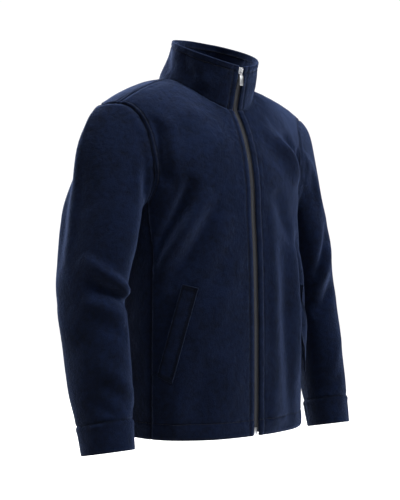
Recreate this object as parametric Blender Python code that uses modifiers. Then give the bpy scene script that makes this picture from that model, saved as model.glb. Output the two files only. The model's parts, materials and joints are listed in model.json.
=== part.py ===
"""Fleece jacket with a full front zip, hanging in the shape it has when it is worn.

Metres, +Z up. The front faces -Y and the wearer's right is -X. The origin is on the
garment's upright axis at the height of the neck, between the shoulders that hold it up.

Every cloth piece is drawn on one of three forms: the body, the sleeve or the collar.
The body form is a stack of level slices up to the armpits and an arch over the
shoulders above them. "angle" runs round it from 0 at centre front to 180 at centre
back, and "rise" is the height over the armpits, then the way along the arch.
"""

import math
from collections import namedtuple

import bmesh
import bpy
import numpy as np

# ---- sizes -------------------------------------------------------------------------
WALL = 0.0025              # one layer of fleece
FOLDED_WALL = 0.0038       # hem and front edges, where the cloth is turned under
COLLAR_WALL = 0.0034       # collar, two layers
SEAM_GAP = 0.0010          # between the edges of two pieces that are sewn together
LIE_GAP = 0.0012           # between a piece and the panel it is sewn on
ZIP_HALF_GAP = 0.0065      # centre line to each front edge
FACING = 0.017             # width turned under at the front edges
HEM_DEPTH = 0.030

ARMPIT_Z = -0.260
HEM_Z = -0.674
ARCH_RUN = 0.270           # cloth from the armpit level to the top of the shoulder
SLICE_POWER = 2.4          # 2 is an ellipse, more is squarer
FRONT_ARCH_POWER = 2.2
BACK_ARCH_POWER = 2.6

NECK_HALF_WIDTH = 0.093
NECK_HALF_DEPTH = 0.0930
NECK_Y = 0.0105
NECK_TOP_Z = 0.001         # top of the shoulder beside the neck
NECK_TOP_Y = 0.045
SHOULDER_TIP_X = 0.244
SHOULDER_TIP_Y = 0.010
SEAM_ARCH_AT_ARM = 72.0    # degrees along the arch, 90 is the top of the shoulder

COLLAR_RIM_Y = -0.020
COLLAR_RIM_HALF_WIDTH = 0.087
COLLAR_RIM_HALF_DEPTH = 0.081
COLLAR_RIM_FRONT_Z = 0.0165
COLLAR_RIM_RISE = 0.0710

ARMHOLE_ANGLE = 60.5       # the armhole's upright sides, on the front and the back
ARMHOLE_CURVE_TOP = 0.075  # rise at which the sides begin to turn under the arm
ARMHOLE_LOW = -0.002
SIDE_SEAM_ANGLE = 70.0
SIDE_SEAM_TOP_ANGLE = 74.0

SLEEVE_TURN = 20.0         # the sleeve's long way, turned in towards the front
CUFF_STEP = 0.0012         # how far the cuff band stands out over the sleeve

BodySlice = namedtuple("BodySlice", "z half_width front back")
BODY_SLICES = (
    BodySlice(-0.674, 0.190, 0.1430, 0.108),
    BodySlice(-0.600, 0.190, 0.1440, 0.105),
    BodySlice(-0.500, 0.190, 0.1440, 0.102),
    BodySlice(-0.420, 0.189, 0.1430, 0.101),
    BodySlice(-0.330, 0.186, 0.1400, 0.106),
    BodySlice(-0.260, 0.184, 0.1350, 0.114),
)

ShoulderWidth = namedtuple("ShoulderWidth", "arch half_width")
SHOULDER_WIDTHS = (
    ShoulderWidth(0, 0.184),
    ShoulderWidth(10, 0.190),
    ShoulderWidth(20, 0.2015),
    ShoulderWidth(40, 0.212),
    ShoulderWidth(60, 0.232),
    ShoulderWidth(75, 0.255),
    ShoulderWidth(90, 0.2745),
)

# Rings of the sleeve from the armpit to the cuff: centre, and half of each way across.
SleeveRing = namedtuple("SleeveRing", "z x y deep wide")
SLEEVE_RINGS = (
    SleeveRing(-0.2700, 0.2460, 0.0080, 0.0825, 0.0505),
    SleeveRing(-0.3110, 0.2550, 0.0050, 0.0810, 0.0485),
    SleeveRing(-0.3570, 0.2640, 0.0035, 0.0760, 0.0485),
    SleeveRing(-0.4000, 0.2690, 0.0035, 0.0725, 0.0495),
    SleeveRing(-0.4425, 0.2725, -0.0040, 0.0685, 0.0475),
    SleeveRing(-0.5060, 0.2730, -0.0180, 0.0675, 0.0450),
    SleeveRing(-0.5850, 0.2725, -0.0330, 0.0625, 0.0445),
    SleeveRing(-0.6365, 0.2720, -0.0440, 0.0545, 0.0425),
    SleeveRing(-0.6885, 0.2715, -0.0545, 0.0500, 0.0410),
)
CUFF_TOP_RING = 7.0        # the cuff band runs from this ring to the last

# Soft folds: a line from one place to another, half its width, and how far it stands
# out, or in where the height is negative. On the body the place is (angle, z), on a
# sleeve (degrees round from the outside by way of the front, z).
Fold = namedtuple("Fold", "angle_a z_a angle_b z_b half_width height")
RIGHT_FRONT_FOLDS = (
    Fold(48, -0.135, 56, -0.205, 0.016, -0.007),
    Fold(40, -0.120, 47, -0.180, 0.018, 0.005),
    Fold(22, -0.215, 52, -0.330, 0.018, -0.006),
    Fold(16, -0.240, 46, -0.370, 0.020, 0.005),
    Fold(12, -0.270, 40, -0.400, 0.018, -0.004),
)
LEFT_FRONT_FOLDS = (
    Fold(22, -0.130, 42, -0.200, 0.016, 0.006),
    Fold(46, -0.140, 56, -0.210, 0.016, -0.007),
    Fold(30, -0.290, 34, -0.560, 0.016, 0.005),
    Fold(42, -0.310, 46, -0.520, 0.016, -0.005),
    Fold(20, -0.330, 24, -0.640, 0.018, -0.004),
)
BACK_FOLDS = (
    Fold(120, -0.190, 150, -0.290, 0.020, -0.006),
    Fold(112, -0.290, 140, -0.410, 0.020, 0.005),
    Fold(150, -0.420, 156, -0.640, 0.022, 0.004),
)
RIGHT_SLEEVE_FOLDS = (
    Fold(92, -0.130, 108, -0.230, 0.020, -0.005),
    Fold(-25, -0.190, -20, -0.330, 0.022, -0.005),
    Fold(40, -0.365, 128, -0.402, 0.018, 0.006),
    Fold(60, -0.400, 132, -0.436, 0.016, -0.007),
    Fold(70, -0.445, 130, -0.470, 0.018, 0.005),
)
LEFT_SLEEVE_FOLDS = (
    Fold(88, -0.130, 104, -0.230, 0.020, -0.005),
    Fold(10, -0.325, 95, -0.410, 0.018, -0.006),
    Fold(25, -0.360, 115, -0.450, 0.018, 0.006),
)

# Pocket welts, from end to end: the opening edge is the one nearer the side seam.
WeltEnd = namedtuple("WeltEnd", "opening_angle opening_z sewn_angle sewn_z")
WELT_TOP = WeltEnd(46.0, -0.3930, 36.5, -0.3990)
WELT_BOTTOM = WeltEnd(63.5, -0.5560, 53.5, -0.5680)
WELT_ROWS, WELT_COLUMNS = 10, 4

# Zip
TAPE_INNER_X, TAPE_OUTER_X = 0.0032, 0.0105
TAPE_DEPTH = 0.0058        # tape's face under the jacket's outer face
TAPE_WALL = 0.0010
CHAIN_HALF_WIDTH = 0.0029
CHAIN_DEPTH, CHAIN_WALL = 0.0042, 0.0028
BOX_SIZE = (0.0080, 0.0042, 0.0130)
SLIDER_SIZE = (0.0104, 0.0018, 0.0130)     # top and bottom plates
SLIDER_DROP = 0.0090       # slider's middle under the collar's rim
BAIL_WIDTH, BAIL_WIRE, BAIL_SPAN, BAIL_OUT = 0.0020, 0.0013, 0.0100, 0.0048
PULL_WIRE = 0.0014         # thickness of the pull and of its eye's top bar
EYE_HALF_WIDTH, EYE_HOLE_HALF, EYE_HEIGHT = 0.0030, 0.0016, 0.0070
TAB_HALF_WIDTH, TAB_LENGTH = 0.0041, 0.0190

# Cells
COLUMNS_TO_NECK, COLUMNS_SHOULDER = 5, 5
UNDERARM_COLUMNS = 3
ROWS_TO_ARMPIT, ROWS_ABOVE_ARMPIT = 13, 9
SLEEVE_CAP_ROWS, SLEEVE_ROWS, CUFF_ROWS = 6, 15, 4
COLLAR_ROWS = 4

RIGHT, LEFT = -1, 1
ZIP_TURN = math.degrees(math.asin(ZIP_HALF_GAP / NECK_HALF_WIDTH))


# ---- tables and folds --------------------------------------------------------------
def smooth_row(rows, at):
    """The row at a value between two rows' first columns, with no kink at the rows."""
    keys = [row[0] for row in rows]
    values = np.array(rows, float)
    slopes = np.gradient(values, keys, axis=0)
    cell = min(max(int(np.searchsorted(keys, at)) - 1, 0), len(rows) - 2)
    span = keys[cell + 1] - keys[cell]
    part = min(max((at - keys[cell]) / span, 0.0), 1.0)
    rising = part * part * (3 - 2 * part)
    start = part * (1 - part) ** 2 * span
    end = part * part * (part - 1) * span
    low, high = values[cell], values[cell + 1]
    return low + (high - low) * rising + slopes[cell] * start + slopes[cell + 1] * end


def fold_height(folds, angle, z, radius):
    """How far the folds push a place out, in metres."""
    height = 0.0
    for fold in folds:
        around = math.radians(fold.angle_b - fold.angle_a) * radius
        down = fold.z_b - fold.z_a
        here_around = math.radians(angle - fold.angle_a) * radius
        here_down = z - fold.z_a
        length2 = around * around + down * down
        along = (here_around * around + here_down * down) / length2
        nearest = min(max(along, 0.0), 1.0)
        off_around = here_around - nearest * around
        off_down = here_down - nearest * down
        off = math.hypot(off_around, off_down) / fold.half_width
        height += fold.height * math.exp(-off * off) * (1 - 0.35 * abs(2 * nearest - 1))
    return height


def unit(vector):
    return np.asarray(vector, float) / np.linalg.norm(vector)


# ---- body form ---------------------------------------------------------------------
def shoulder_top(x, front):
    """Height of the top of the shoulder at a distance from the middle."""
    out = max(x - NECK_HALF_WIDTH, 0.0)
    top = NECK_TOP_Z - 0.22 * out - 1.45 * out * out
    if x < NECK_HALF_WIDTH and not front:
        top += 0.12 * math.cos(math.pi / 2 * x / NECK_HALF_WIDTH) ** 2
    return top


def shoulder_top_y(x):
    out = max(x - NECK_HALF_WIDTH, 0.0)
    slope = (NECK_TOP_Y - SHOULDER_TIP_Y) / (SHOULDER_TIP_X - NECK_HALF_WIDTH)
    return NECK_TOP_Y - slope * out


def arch_power(angle):
    part = min(max((angle - 80) / 20, 0.0), 1.0)
    return FRONT_ARCH_POWER + (BACK_ARCH_POWER - FRONT_ARCH_POWER) * part


def body_place(angle, rise):
    """Point of the smooth body form on the side of +X."""
    arch = 90 * rise / ARCH_RUN
    if arch > 90:
        arch, angle = 180 - arch, 180 - angle
    front = angle < 90
    cut = smooth_row(BODY_SLICES, ARMPIT_Z + min(rise, 0.0))
    half_width = cut[1]
    if arch > 0:
        half_width = smooth_row(SHOULDER_WIDTHS, arch)[1]
    turn = math.radians(angle)
    x = half_width * max(math.sin(turn), 0.0) ** (2 / SLICE_POWER)
    out = abs(math.cos(turn)) ** (2 / SLICE_POWER)
    y = -cut[2] * out if front else cut[3] * out
    if arch <= 0:
        return np.array([x, y, ARMPIT_Z + rise])
    power = 2 / arch_power(angle)
    climb = math.sin(math.radians(arch)) ** power
    lean = max(math.cos(math.radians(arch)), 0.0) ** power
    top_y = shoulder_top_y(x)
    z = ARMPIT_Z + (shoulder_top(x, front) - ARMPIT_Z) * climb
    return np.array([x, top_y + (y - top_y) * lean, z])


def body_normal(angle, rise):
    step = 0.6
    across = body_place(angle + step, rise) - body_place(max(angle - step, 0.0), rise)
    up = body_place(angle, rise + 0.002) - body_place(angle, rise - 0.002)
    return unit(np.cross(across, up))


def body_point(angle, rise, folds=()):
    point = body_place(angle, rise)
    height = fold_height(folds, angle, point[2], 0.15)
    if abs(height) < 1e-5:
        return point
    return point + body_normal(angle, rise) * height


def body_over(x, y):
    """(angle, rise) of the shoulders' point over a place in plan, as on the front."""
    low, high = 0.0, 2 * ARCH_RUN
    for _ in range(40):
        rise = (low + high) / 2
        arch = 90 * rise / ARCH_RUN
        half_width = smooth_row(SHOULDER_WIDTHS, min(arch, 180 - arch))[1]
        angle = math.degrees(math.asin((x / half_width) ** (SLICE_POWER / 2)))
        if body_place(angle, rise)[1] < y:
            low = rise
        else:
            high = rise
    return np.array([angle, high])


def centre_angle(rise):
    """Angle at which the form is half the zip's gap from the middle."""
    low, high = 0.0, 20.0
    for _ in range(40):
        middle = (low + high) / 2
        if body_place(middle, rise)[0] < ZIP_HALF_GAP:
            low = middle
        else:
            high = middle
    return high


def neckline(turn, back):
    """(angle, rise) of the neckline, turn degrees round it from centre front."""
    x = max(NECK_HALF_WIDTH * math.sin(math.radians(turn)), 0.0)
    y = NECK_Y - NECK_HALF_DEPTH * math.cos(math.radians(turn))
    angle, rise = body_over(x, y)
    return np.array([180 - angle, 2 * ARCH_RUN - rise] if back else [angle, rise])


def armhole(turn):
    """(angle, rise) of the armhole: 0 at the shoulder seam's height on the front, 180
    at the bottom of the armhole, 360 on the back at the top of the shoulder."""
    top = ARCH_RUN
    legs = 100.0
    if turn < legs or turn > 360 - legs:
        part = min(turn, 360 - turn) / legs
        rise = top + (ARMHOLE_CURVE_TOP - top) * part
        return np.array([ARMHOLE_ANGLE if turn < 180 else 180 - ARMHOLE_ANGLE, rise])
    half_turn = math.radians((turn - legs) / (360 - 2 * legs) * 180)
    power = 2 / 1.9
    side = math.cos(half_turn)
    reach = math.copysign(abs(side) ** power, side)
    drop = max(math.sin(half_turn), 0.0) ** power
    angle = 90 - (90 - ARMHOLE_ANGLE) * reach
    return np.array([angle, ARMHOLE_CURVE_TOP + (ARMHOLE_LOW - ARMHOLE_CURVE_TOP) * drop])


def side_seam_foot():
    """The turn of the armhole at which the side seam meets it."""
    low, high = 100.0, 180.0
    for _ in range(40):
        middle = (low + high) / 2
        if armhole(middle)[0] < SIDE_SEAM_TOP_ANGLE:
            low = middle
        else:
            high = middle
    return high


def shoulder_seam(part, back):
    """(angle, rise) along the shoulder seam from the neck, 0, to the armhole, 1."""
    neck = neckline(90.0, False)
    arm = np.array([ARMHOLE_ANGLE, ARCH_RUN * SEAM_ARCH_AT_ARM / 90])
    place = neck + (arm - neck) * part
    if back:
        place = np.array([180 - place[0], 2 * ARCH_RUN - place[1]])
    return place


def side_seam_angle(rise):
    part = min(max((rise + 0.09) / 0.1, 0.0), 1.0)
    blend = part * part * (3 - 2 * part)
    return SIDE_SEAM_ANGLE + (SIDE_SEAM_TOP_ANGLE - SIDE_SEAM_ANGLE) * blend


# ---- panels ------------------------------------------------------------------------
def along(places, count):
    """count + 1 places at even lengths along a path of (angle, rise) places."""
    places = np.array(places, float)
    steps = np.diff(places, axis=0) * [math.radians(1) * 0.15, 1.0]
    run = np.concatenate([[0.0], np.cumsum(np.linalg.norm(steps, axis=1))])
    wanted = np.linspace(0, run[-1], count + 1)
    return np.stack([np.interp(wanted, run, places[:, i]) for i in (0, 1)], axis=1)


def patch(bottom, top, left, right):
    """Places over a four-sided piece, spread evenly from its four edges."""
    rows, columns = len(left), len(bottom)
    grid = np.zeros((rows, columns, 2))
    for i in range(rows):
        v = i / (rows - 1)
        for j in range(columns):
            u = j / (columns - 1)
            sides = (1 - u) * left[i] + u * right[i]
            ends = (1 - v) * bottom[j] + v * top[j]
            corners = (1 - v) * ((1 - u) * bottom[0] + u * bottom[-1])
            corners = corners + v * ((1 - u) * top[0] + u * top[-1])
            grid[i, j] = sides + ends - corners
    return grid


def panel_places(back):
    """(angle, rise) of the corners of a front, or of half of the back, from the middle
    out and the hem up: the part under the armpits, then the part between the arms."""
    columns = COLUMNS_TO_NECK + COLUMNS_SHOULDER
    hem = HEM_Z - ARMPIT_Z
    foot = side_seam_foot()
    corner_turn = 360 - foot if back else foot
    under = [armhole(turn) for turn in np.linspace(corner_turn, foot, UNDERARM_COLUMNS + 1)]
    corner = under[0]
    middle = 180.0 if back else centre_angle(0.0)
    start = np.array([middle, 0.0])
    armpit_row = [start + (corner - start) * j / columns for j in range(columns + 1)]
    if back:
        armpit_row += under[1:]

    lower = np.zeros((ROWS_TO_ARMPIT + 1, len(armpit_row), 2))
    half_gap = math.degrees(SEAM_GAP / 2 / 0.15) * (1 if back else -1)
    for i in range(ROWS_TO_ARMPIT + 1):
        for j, place in enumerate(armpit_row):
            lower[i, j, 1] = hem + (place[1] - hem) * i / ROWS_TO_ARMPIT
        seam = side_seam_angle(lower[i, -1, 1]) + half_gap
        first = 180.0 if back else centre_angle(lower[i, 0, 1])
        last = corner[0] if back else seam
        for j in range(columns + 1):
            lower[i, j, 0] = first + (last - first) * j / columns
        for j in range(columns + 1, len(armpit_row)):
            share = (armpit_row[j][0] - corner[0]) / (SIDE_SEAM_TOP_ANGLE - corner[0])
            lower[i, j, 0] = last + (seam - last) * share

    bottom = lower[-1, :columns + 1]
    turns = np.linspace(180, 90, 9) if back else np.linspace(ZIP_TURN, 90, 9)
    neck = along([neckline(turn, back) for turn in turns], COLUMNS_TO_NECK)
    seam = [shoulder_seam(j / COLUMNS_SHOULDER, back) for j in range(COLUMNS_SHOULDER + 1)]
    widening = np.linspace(0.5, 1.2, COLUMNS_SHOULDER + 1)[:, None]
    seam = np.array(seam) - np.array([0.0, SEAM_GAP]) * widening
    top = np.concatenate([neck[:-1], seam])
    if back:
        arm_turns = np.linspace(corner_turn, 360, 50)
    else:
        arm_turns = np.linspace(foot, 100 * (90 - SEAM_ARCH_AT_ARM) / 65, 40)
    arm = [bottom[-1]] + [armhole(turn) for turn in arm_turns[1:]] + [top[-1]]
    left = along([bottom[0], top[0]], ROWS_ABOVE_ARMPIT)
    right = along(arm, ROWS_ABOVE_ARMPIT)
    upper = patch(bottom, top, left, right)
    if not back:
        upper[:, 0, 0] = [centre_angle(rise) for rise in upper[:, 0, 1]]
    return lower, upper


def panel_grid(places, folds, side):
    """The points of both parts of a panel."""
    grids = []
    for part in places:
        grid = np.array([[body_point(*place, folds) for place in row] for row in part])
        grid[..., 0] *= side
        grids.append(grid)
    return grids


def neck_turn(point):
    """Degrees round the neck from centre front of a point near it."""
    return math.degrees(math.atan2(abs(point[0]) / NECK_HALF_WIDTH,
                                   (NECK_Y - point[1]) / NECK_HALF_DEPTH))


def collar_rim(turn, side):
    angle = math.radians(turn)
    x = side * max(COLLAR_RIM_HALF_WIDTH * math.sin(angle), 0.0)
    y = COLLAR_RIM_Y - COLLAR_RIM_HALF_DEPTH * math.cos(angle)
    z = COLLAR_RIM_FRONT_Z + COLLAR_RIM_RISE * max((1 - math.cos(angle)) / 2, 0) ** 0.8
    return np.array([x, y, z])


def collar_grid(front_row, back_row, side):
    """Rows from the neckline to the rim, on one side, from the neck edges of the front
    and of the back, each given from the middle to the shoulder seam."""
    seam = (front_row[-1] + back_row[-1]) / 2
    base = [*front_row[:-1], seam, *back_row[-2::-1]]
    rows = []
    for i in range(COLLAR_ROWS + 1):
        v = i / COLLAR_ROWS
        row = []
        for point in base:
            turn = neck_turn(point)
            rim = collar_rim(turn, side)
            start = point + unit(rim - point) * SEAM_GAP * 1.1
            if point is base[0]:
                start[0] = rim[0] = side * (ZIP_HALF_GAP + 0.0006)
            hollow = 0.004 * math.sin(math.pi * v) * math.sin(math.radians(turn))
            row.append(start + (rim - start) * v - np.array([side * hollow, 0.0, 0.0]))
        rows.append(row)
    return np.array(rows)


def whole_collar(front_rows, back_rows):
    """The collar from the right front round to the left front."""
    right, left = (collar_grid(front_rows[i], back_rows[i], side)
                   for i, side in enumerate((RIGHT, LEFT)))
    return np.concatenate([right, left[:, -2::-1]], axis=1)


# ---- sleeve form -------------------------------------------------------------------
def sleeve_ring(at):
    """Centre, axis, and the two ways across of the sleeve at a ring number."""
    rows = [(i, *ring) for i, ring in enumerate(SLEEVE_RINGS)]
    here = smooth_row(rows, at)
    ahead = smooth_row(rows, min(at + 0.1, len(rows) - 1))
    behind = smooth_row(rows, max(at - 0.1, 0))
    centre = np.array([here[2], here[3], here[1]])
    axis = unit([ahead[2] - behind[2], ahead[3] - behind[3], ahead[1] - behind[1]])
    turn = math.radians(SLEEVE_TURN)
    forward = np.array([-math.sin(turn), -math.cos(turn), 0.0])
    forward = unit(forward - axis * forward.dot(axis))
    outward = np.cross(forward, axis)
    if outward[0] < 0:
        outward = -outward
    return centre, axis, forward * here[4], outward * here[5]


def sleeve_place(turn, at, grow=0.0):
    """Point of the sleeve: turn is 0 outside, 90 in front, 180 inside, 270 behind."""
    centre, _, forward, outward = sleeve_ring(at)
    angle = math.radians(turn)
    grown_forward = forward * (1 + grow / np.linalg.norm(forward))
    grown_outward = outward * (1 + grow / np.linalg.norm(outward))
    return centre + grown_forward * math.sin(angle) + grown_outward * math.cos(angle)


def armhole_loop(front_places, back_places, front_grid, back_grid):
    """The armhole's points, on the side of +X, from the shoulder seam down the front
    and up the back, with the direction in which the sleeve leaves each of them."""
    columns = COLUMNS_TO_NECK + COLUMNS_SHOULDER
    front = list(zip(front_grid[1][:, -1], front_places[1][:, -1]))[::-1]
    under = list(zip(back_grid[0][-1, columns:], back_places[0][-1, columns:]))[::-1]
    back = list(zip(back_grid[1][:, -1], back_places[1][:, -1]))
    seam_top = ((front[0][0] + back[-1][0]) / 2, front[0][1])
    foot = ((front[-1][0] + under[0][0]) / 2, front[-1][1])
    loop = [(*seam_top, 1)] + [(*entry, 1) for entry in front[1:-1]] + [(*foot, 1)]
    loop += [(*entry, -1) for entry in under[1:] + back[1:-1]]
    points = np.array([entry[0] for entry in loop])
    middle = (points.max(axis=0) + points.min(axis=0)) / 2
    half = (points.max(axis=0) - points.min(axis=0)) / 2
    turns, ways = [], []
    for point, (angle, rise), sign in loop:
        off = (point - middle) / half
        turns.append(math.degrees(math.atan2(-off[1], off[2])) % 360)
        across = body_place(angle + sign, rise) - body_place(angle - sign, rise)
        under = max(0.0, -math.cos(math.radians(turns[-1])))
        over_way = unit(across) * 0.45 + np.array([0.55, 0.0, -0.15])
        under_way = np.array([0.75, 0.0, -0.65])
        ways.append(unit(over_way * (1 - under) + under_way * under))
    return points, ways, turns


def sleeve_grid(loop, folds, side):
    """Rows from the armhole to the top of the cuff band."""
    points, ways, turns = loop
    down = sleeve_ring(0.0)[1]
    rows = []
    for i in range(SLEEVE_CAP_ROWS):
        v = i / SLEEVE_CAP_ROWS
        rising = v * v * (3 - 2 * v)
        row = []
        for start, way, turn in zip(points, ways, turns):
            end = sleeve_place(turn, 0.0)
            begin = start + way * SEAM_GAP * (1.1 + 0.4 * way[0])
            reach = np.linalg.norm(end - begin)
            point = begin + (end - begin) * rising
            point = point + way * reach * v * (1 - v) ** 2
            row.append(point + down * reach * v * v * (v - 1))
        rows.append(row)
    last = CUFF_TOP_RING - 0.02
    for i in range(SLEEVE_ROWS + 1):
        at = last * i / SLEEVE_ROWS
        rows.append([sleeve_place(turn, at) for turn in turns])
    return folded_tube(np.array(rows), turns, folds, side)


def folded_tube(grid, turns, folds, side):
    out = grid.copy()
    for i in range(1, len(grid) - 1):
        for j, turn in enumerate(turns):
            around = grid[i, (j + 1) % len(turns)] - grid[i, j - 1]
            down = grid[i + 1, j] - grid[i - 1, j]
            normal = unit(np.cross(down, around))
            reach = (turn + 180) % 360 - 180
            height = fold_height(folds, reach, grid[i, j][2], 0.06)
            out[i, j] = grid[i, j] + normal * height
    out[..., 0] *= side
    return out


def cuff_grid(turns, side):
    ats = np.linspace(CUFF_TOP_RING - 0.006, len(SLEEVE_RINGS) - 1, CUFF_ROWS + 1)
    grid = np.array([[sleeve_place(turn, at, CUFF_STEP) for turn in turns] for at in ats])
    grid[..., 0] *= side
    return grid


# ---- centre front and the pieces on it ---------------------------------------------
def centre_line(front_places, collar):
    """(y, z) of the jacket's face at centre front, hem to neck, then up the collar."""
    lower, upper = front_places
    rises = np.concatenate([lower[:, 0, 1], upper[1:, 0, 1]])
    body = [body_place(0.0, rise)[1:] for rise in rises]
    return np.array(body + [point[1:] for point in collar[1:, 0]])


def inset(line, depth):
    """The line moved into the jacket, keeping its distance at the bends."""
    steps = np.diff(line, axis=0)
    steps = steps / np.linalg.norm(steps, axis=1)[:, None]
    sides = np.stack([steps[:, 1], -steps[:, 0]], axis=1)
    before = np.concatenate([sides[:1], sides])
    after = np.concatenate([sides, sides[-1:]])
    middle = before + after
    middle = middle / np.linalg.norm(middle, axis=1)[:, None]
    return line + middle * (depth / (middle * before).sum(axis=1))[:, None]


def strip_mesh(line, x_low, x_high, depth, wall):
    """A flat strip with square edges that follows the centre front."""
    outer, inner = inset(line, depth), inset(line, depth + wall)
    points, faces = [], []
    for near, far in zip(outer, inner):
        points += [(x_low, *near), (x_high, *near), (x_high, *far), (x_low, *far)]
    for i in range(len(line) - 1):
        for k in range(4):
            a, b = 4 * i + k, 4 * i + (k + 1) % 4
            faces.append((a, b, b + 4, a + 4))
    faces.append((3, 2, 1, 0))
    faces.append(tuple(4 * (len(line) - 1) + k for k in range(4)))
    return points, faces


def cut_line(line, z_low, z_high):
    """The part of a centre line between two heights."""
    z = line[:, 1]
    ends = [np.array([np.interp(at, z, line[:, 0]), at]) for at in (z_low, z_high)]
    kept = [point for point in line if z_low + 1e-4 < point[1] < z_high - 1e-4]
    return np.array([ends[0], *kept, ends[1]])


def welt_grid(panel, places, side):
    """A strip laid over a front: its corners are found on the panel's own cells."""
    grid = np.zeros((WELT_ROWS, WELT_COLUMNS, 3))
    heights = places[:, 0, 1]
    low_end, high_end = np.array(WELT_BOTTOM), np.array(WELT_TOP)
    for i in range(WELT_ROWS):
        ends = low_end + (high_end - low_end) * i / (WELT_ROWS - 1)
        for j in range(WELT_COLUMNS):
            angle, z = ends[2:] + (ends[:2] - ends[2:]) * j / (WELT_COLUMNS - 1)
            rise = z - ARMPIT_Z
            row = int(np.clip(np.searchsorted(heights, rise) - 1, 0, len(heights) - 2))
            v = (rise - heights[row]) / (heights[row + 1] - heights[row])
            edge = places[row] * (1 - v) + places[row + 1] * v
            column = int(np.clip(np.searchsorted(edge[:, 0], angle) - 1, 0, len(edge) - 2))
            u = (angle - edge[column, 0]) / (edge[column + 1, 0] - edge[column, 0])
            cell = panel[row:row + 2, column:column + 2]
            low = cell[0, 0] * (1 - u) + cell[0, 1] * u
            high = cell[1, 0] * (1 - u) + cell[1, 1] * u
            across = (cell[0, 1] - cell[0, 0]) + (cell[1, 1] - cell[1, 0])
            normal = unit(np.cross(across * side, high - low))
            point = low * (1 - v) + high * v
            grid[i, j] = point + normal * (LIE_GAP + WALL)
    return grid


# ---- meshes ------------------------------------------------------------------------
def split_cell(points, cell, flip):
    """Two triangles from a four-cornered cell, along its shorter diagonal."""
    a, b, c, d = cell
    if np.linalg.norm(points[a] - points[c]) <= np.linalg.norm(points[b] - points[d]):
        halves = [(a, b, c), (a, c, d)]
    else:
        halves = [(a, b, d), (b, c, d)]
    return [half[::-1] for half in halves] if flip else halves


def grid_mesh(grid, closed=False, flip=False):
    """A surface through a grid's points; closed joins its last column to its first."""
    rows, columns = grid.shape[:2]
    points = grid.reshape(-1, 3)
    faces = []
    for i in range(rows - 1):
        for j in range(columns if closed else columns - 1):
            k = (j + 1) % columns
            cell = (i * columns + j, i * columns + k, (i + 1) * columns + k,
                    (i + 1) * columns + j)
            faces += split_cell(points, cell, flip)
    return points, faces


def panel_mesh(lower, upper, flip):
    """One surface from a panel's two parts, which share the row at the armpits. The
    upper part may be narrower, by as many columns at each end."""
    lower_points, faces = grid_mesh(lower, flip=flip)
    rows, columns = lower.shape[:2]
    margin = (columns - upper.shape[1]) // 2 if upper.shape[1] % 2 else 0
    shift = (rows - 1) * columns + margin
    upper_columns = upper.shape[1]
    first = len(lower_points)
    points = np.concatenate([lower_points, upper[1:].reshape(-1, 3)])

    def index(i, j):
        return shift + j if i == 0 else first + (i - 1) * upper_columns + j

    for i in range(len(upper) - 1):
        for j in range(upper_columns - 1):
            cell = (index(i, j), index(i, j + 1), index(i + 1, j + 1), index(i + 1, j))
            faces += split_cell(points, cell, flip)
    return points, faces


def plate_mesh(xs, zs, filled, thickness):
    """A plate from a plan of cells, upright and facing -Y, with its middle at y = 0."""
    points, index, faces = [], {}, []

    def corner(i, k, back):
        key = (i, k, back)
        if key not in index:
            index[key] = len(points)
            points.append((xs[i], thickness / 2 if back else -thickness / 2, zs[k]))
        return index[key]

    def is_filled(i, k):
        inside = 0 <= k < len(filled) and 0 <= i < len(filled[0])
        return inside and filled[k][i] == "#"

    for k in range(len(filled)):
        for i in range(len(filled[0])):
            if not is_filled(i, k):
                continue
            a, b, c, d = (i, k), (i + 1, k), (i + 1, k + 1), (i, k + 1)
            faces.append([corner(*q, False) for q in (d, c, b, a)])
            faces.append([corner(*q, True) for q in (a, b, c, d)])
            for p, q, beside in ((a, b, (i, k - 1)), (b, c, (i + 1, k)),
                                 (c, d, (i, k + 1)), (d, a, (i - 1, k))):
                if not is_filled(*beside):
                    ends = (corner(*q, True), corner(*p, True))
                    faces.append([corner(*p, False), corner(*q, False), *ends])
    return points, faces


def box_mesh(size):
    xs = (-size[0] / 2, size[0] / 2)
    zs = (size[2] / 2, -size[2] / 2)
    return plate_mesh(xs, zs, ("#",), size[1])


def arch_mesh():
    """The slider's bail: a square wire bent over in the plane of Y and Z, feet at y = 0."""
    points, faces, turns = [], [], np.linspace(0, math.pi, 11)
    for turn in turns:
        for reach in (0.0, -BAIL_WIRE):
            z = (BAIL_SPAN / 2 + reach) * math.cos(turn)
            y = -(BAIL_OUT + reach) * math.sin(turn) ** 0.8
            points += [(-BAIL_WIDTH / 2, y, z), (BAIL_WIDTH / 2, y, z)]
    for i in range(len(turns) - 1):
        a, b = 4 * i, 4 * i + 4
        faces += [(a, b, b + 1, a + 1), (a + 2, a + 3, b + 3, b + 2),
                  (a, a + 2, b + 2, b), (a + 1, b + 1, b + 3, a + 3)]
    last = 4 * (len(turns) - 1)
    faces += [(0, 1, 3, 2), (last, last + 2, last + 3, last + 1)]
    return points, faces


# ---- Blender objects ---------------------------------------------------------------
def clear_scene():
    for obj in list(bpy.data.objects):
        bpy.data.objects.remove(obj, do_unlink=True)


def make_collection(name, hidden=False):
    collection = bpy.data.collections.new(name)
    collection.hide_render = hidden
    bpy.context.scene.collection.children.link(collection)
    return collection


def make_material(name, color, roughness, metallic=0.0):
    material = bpy.data.materials.new(name)
    material.use_nodes = True
    shader = material.node_tree.nodes["Principled BSDF"]
    shader.inputs["Base Color"].default_value = (*color, 1.0)
    shader.inputs["Roughness"].default_value = roughness
    shader.inputs["Metallic"].default_value = metallic
    material.diffuse_color = (*color, 1.0)
    return material


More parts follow.
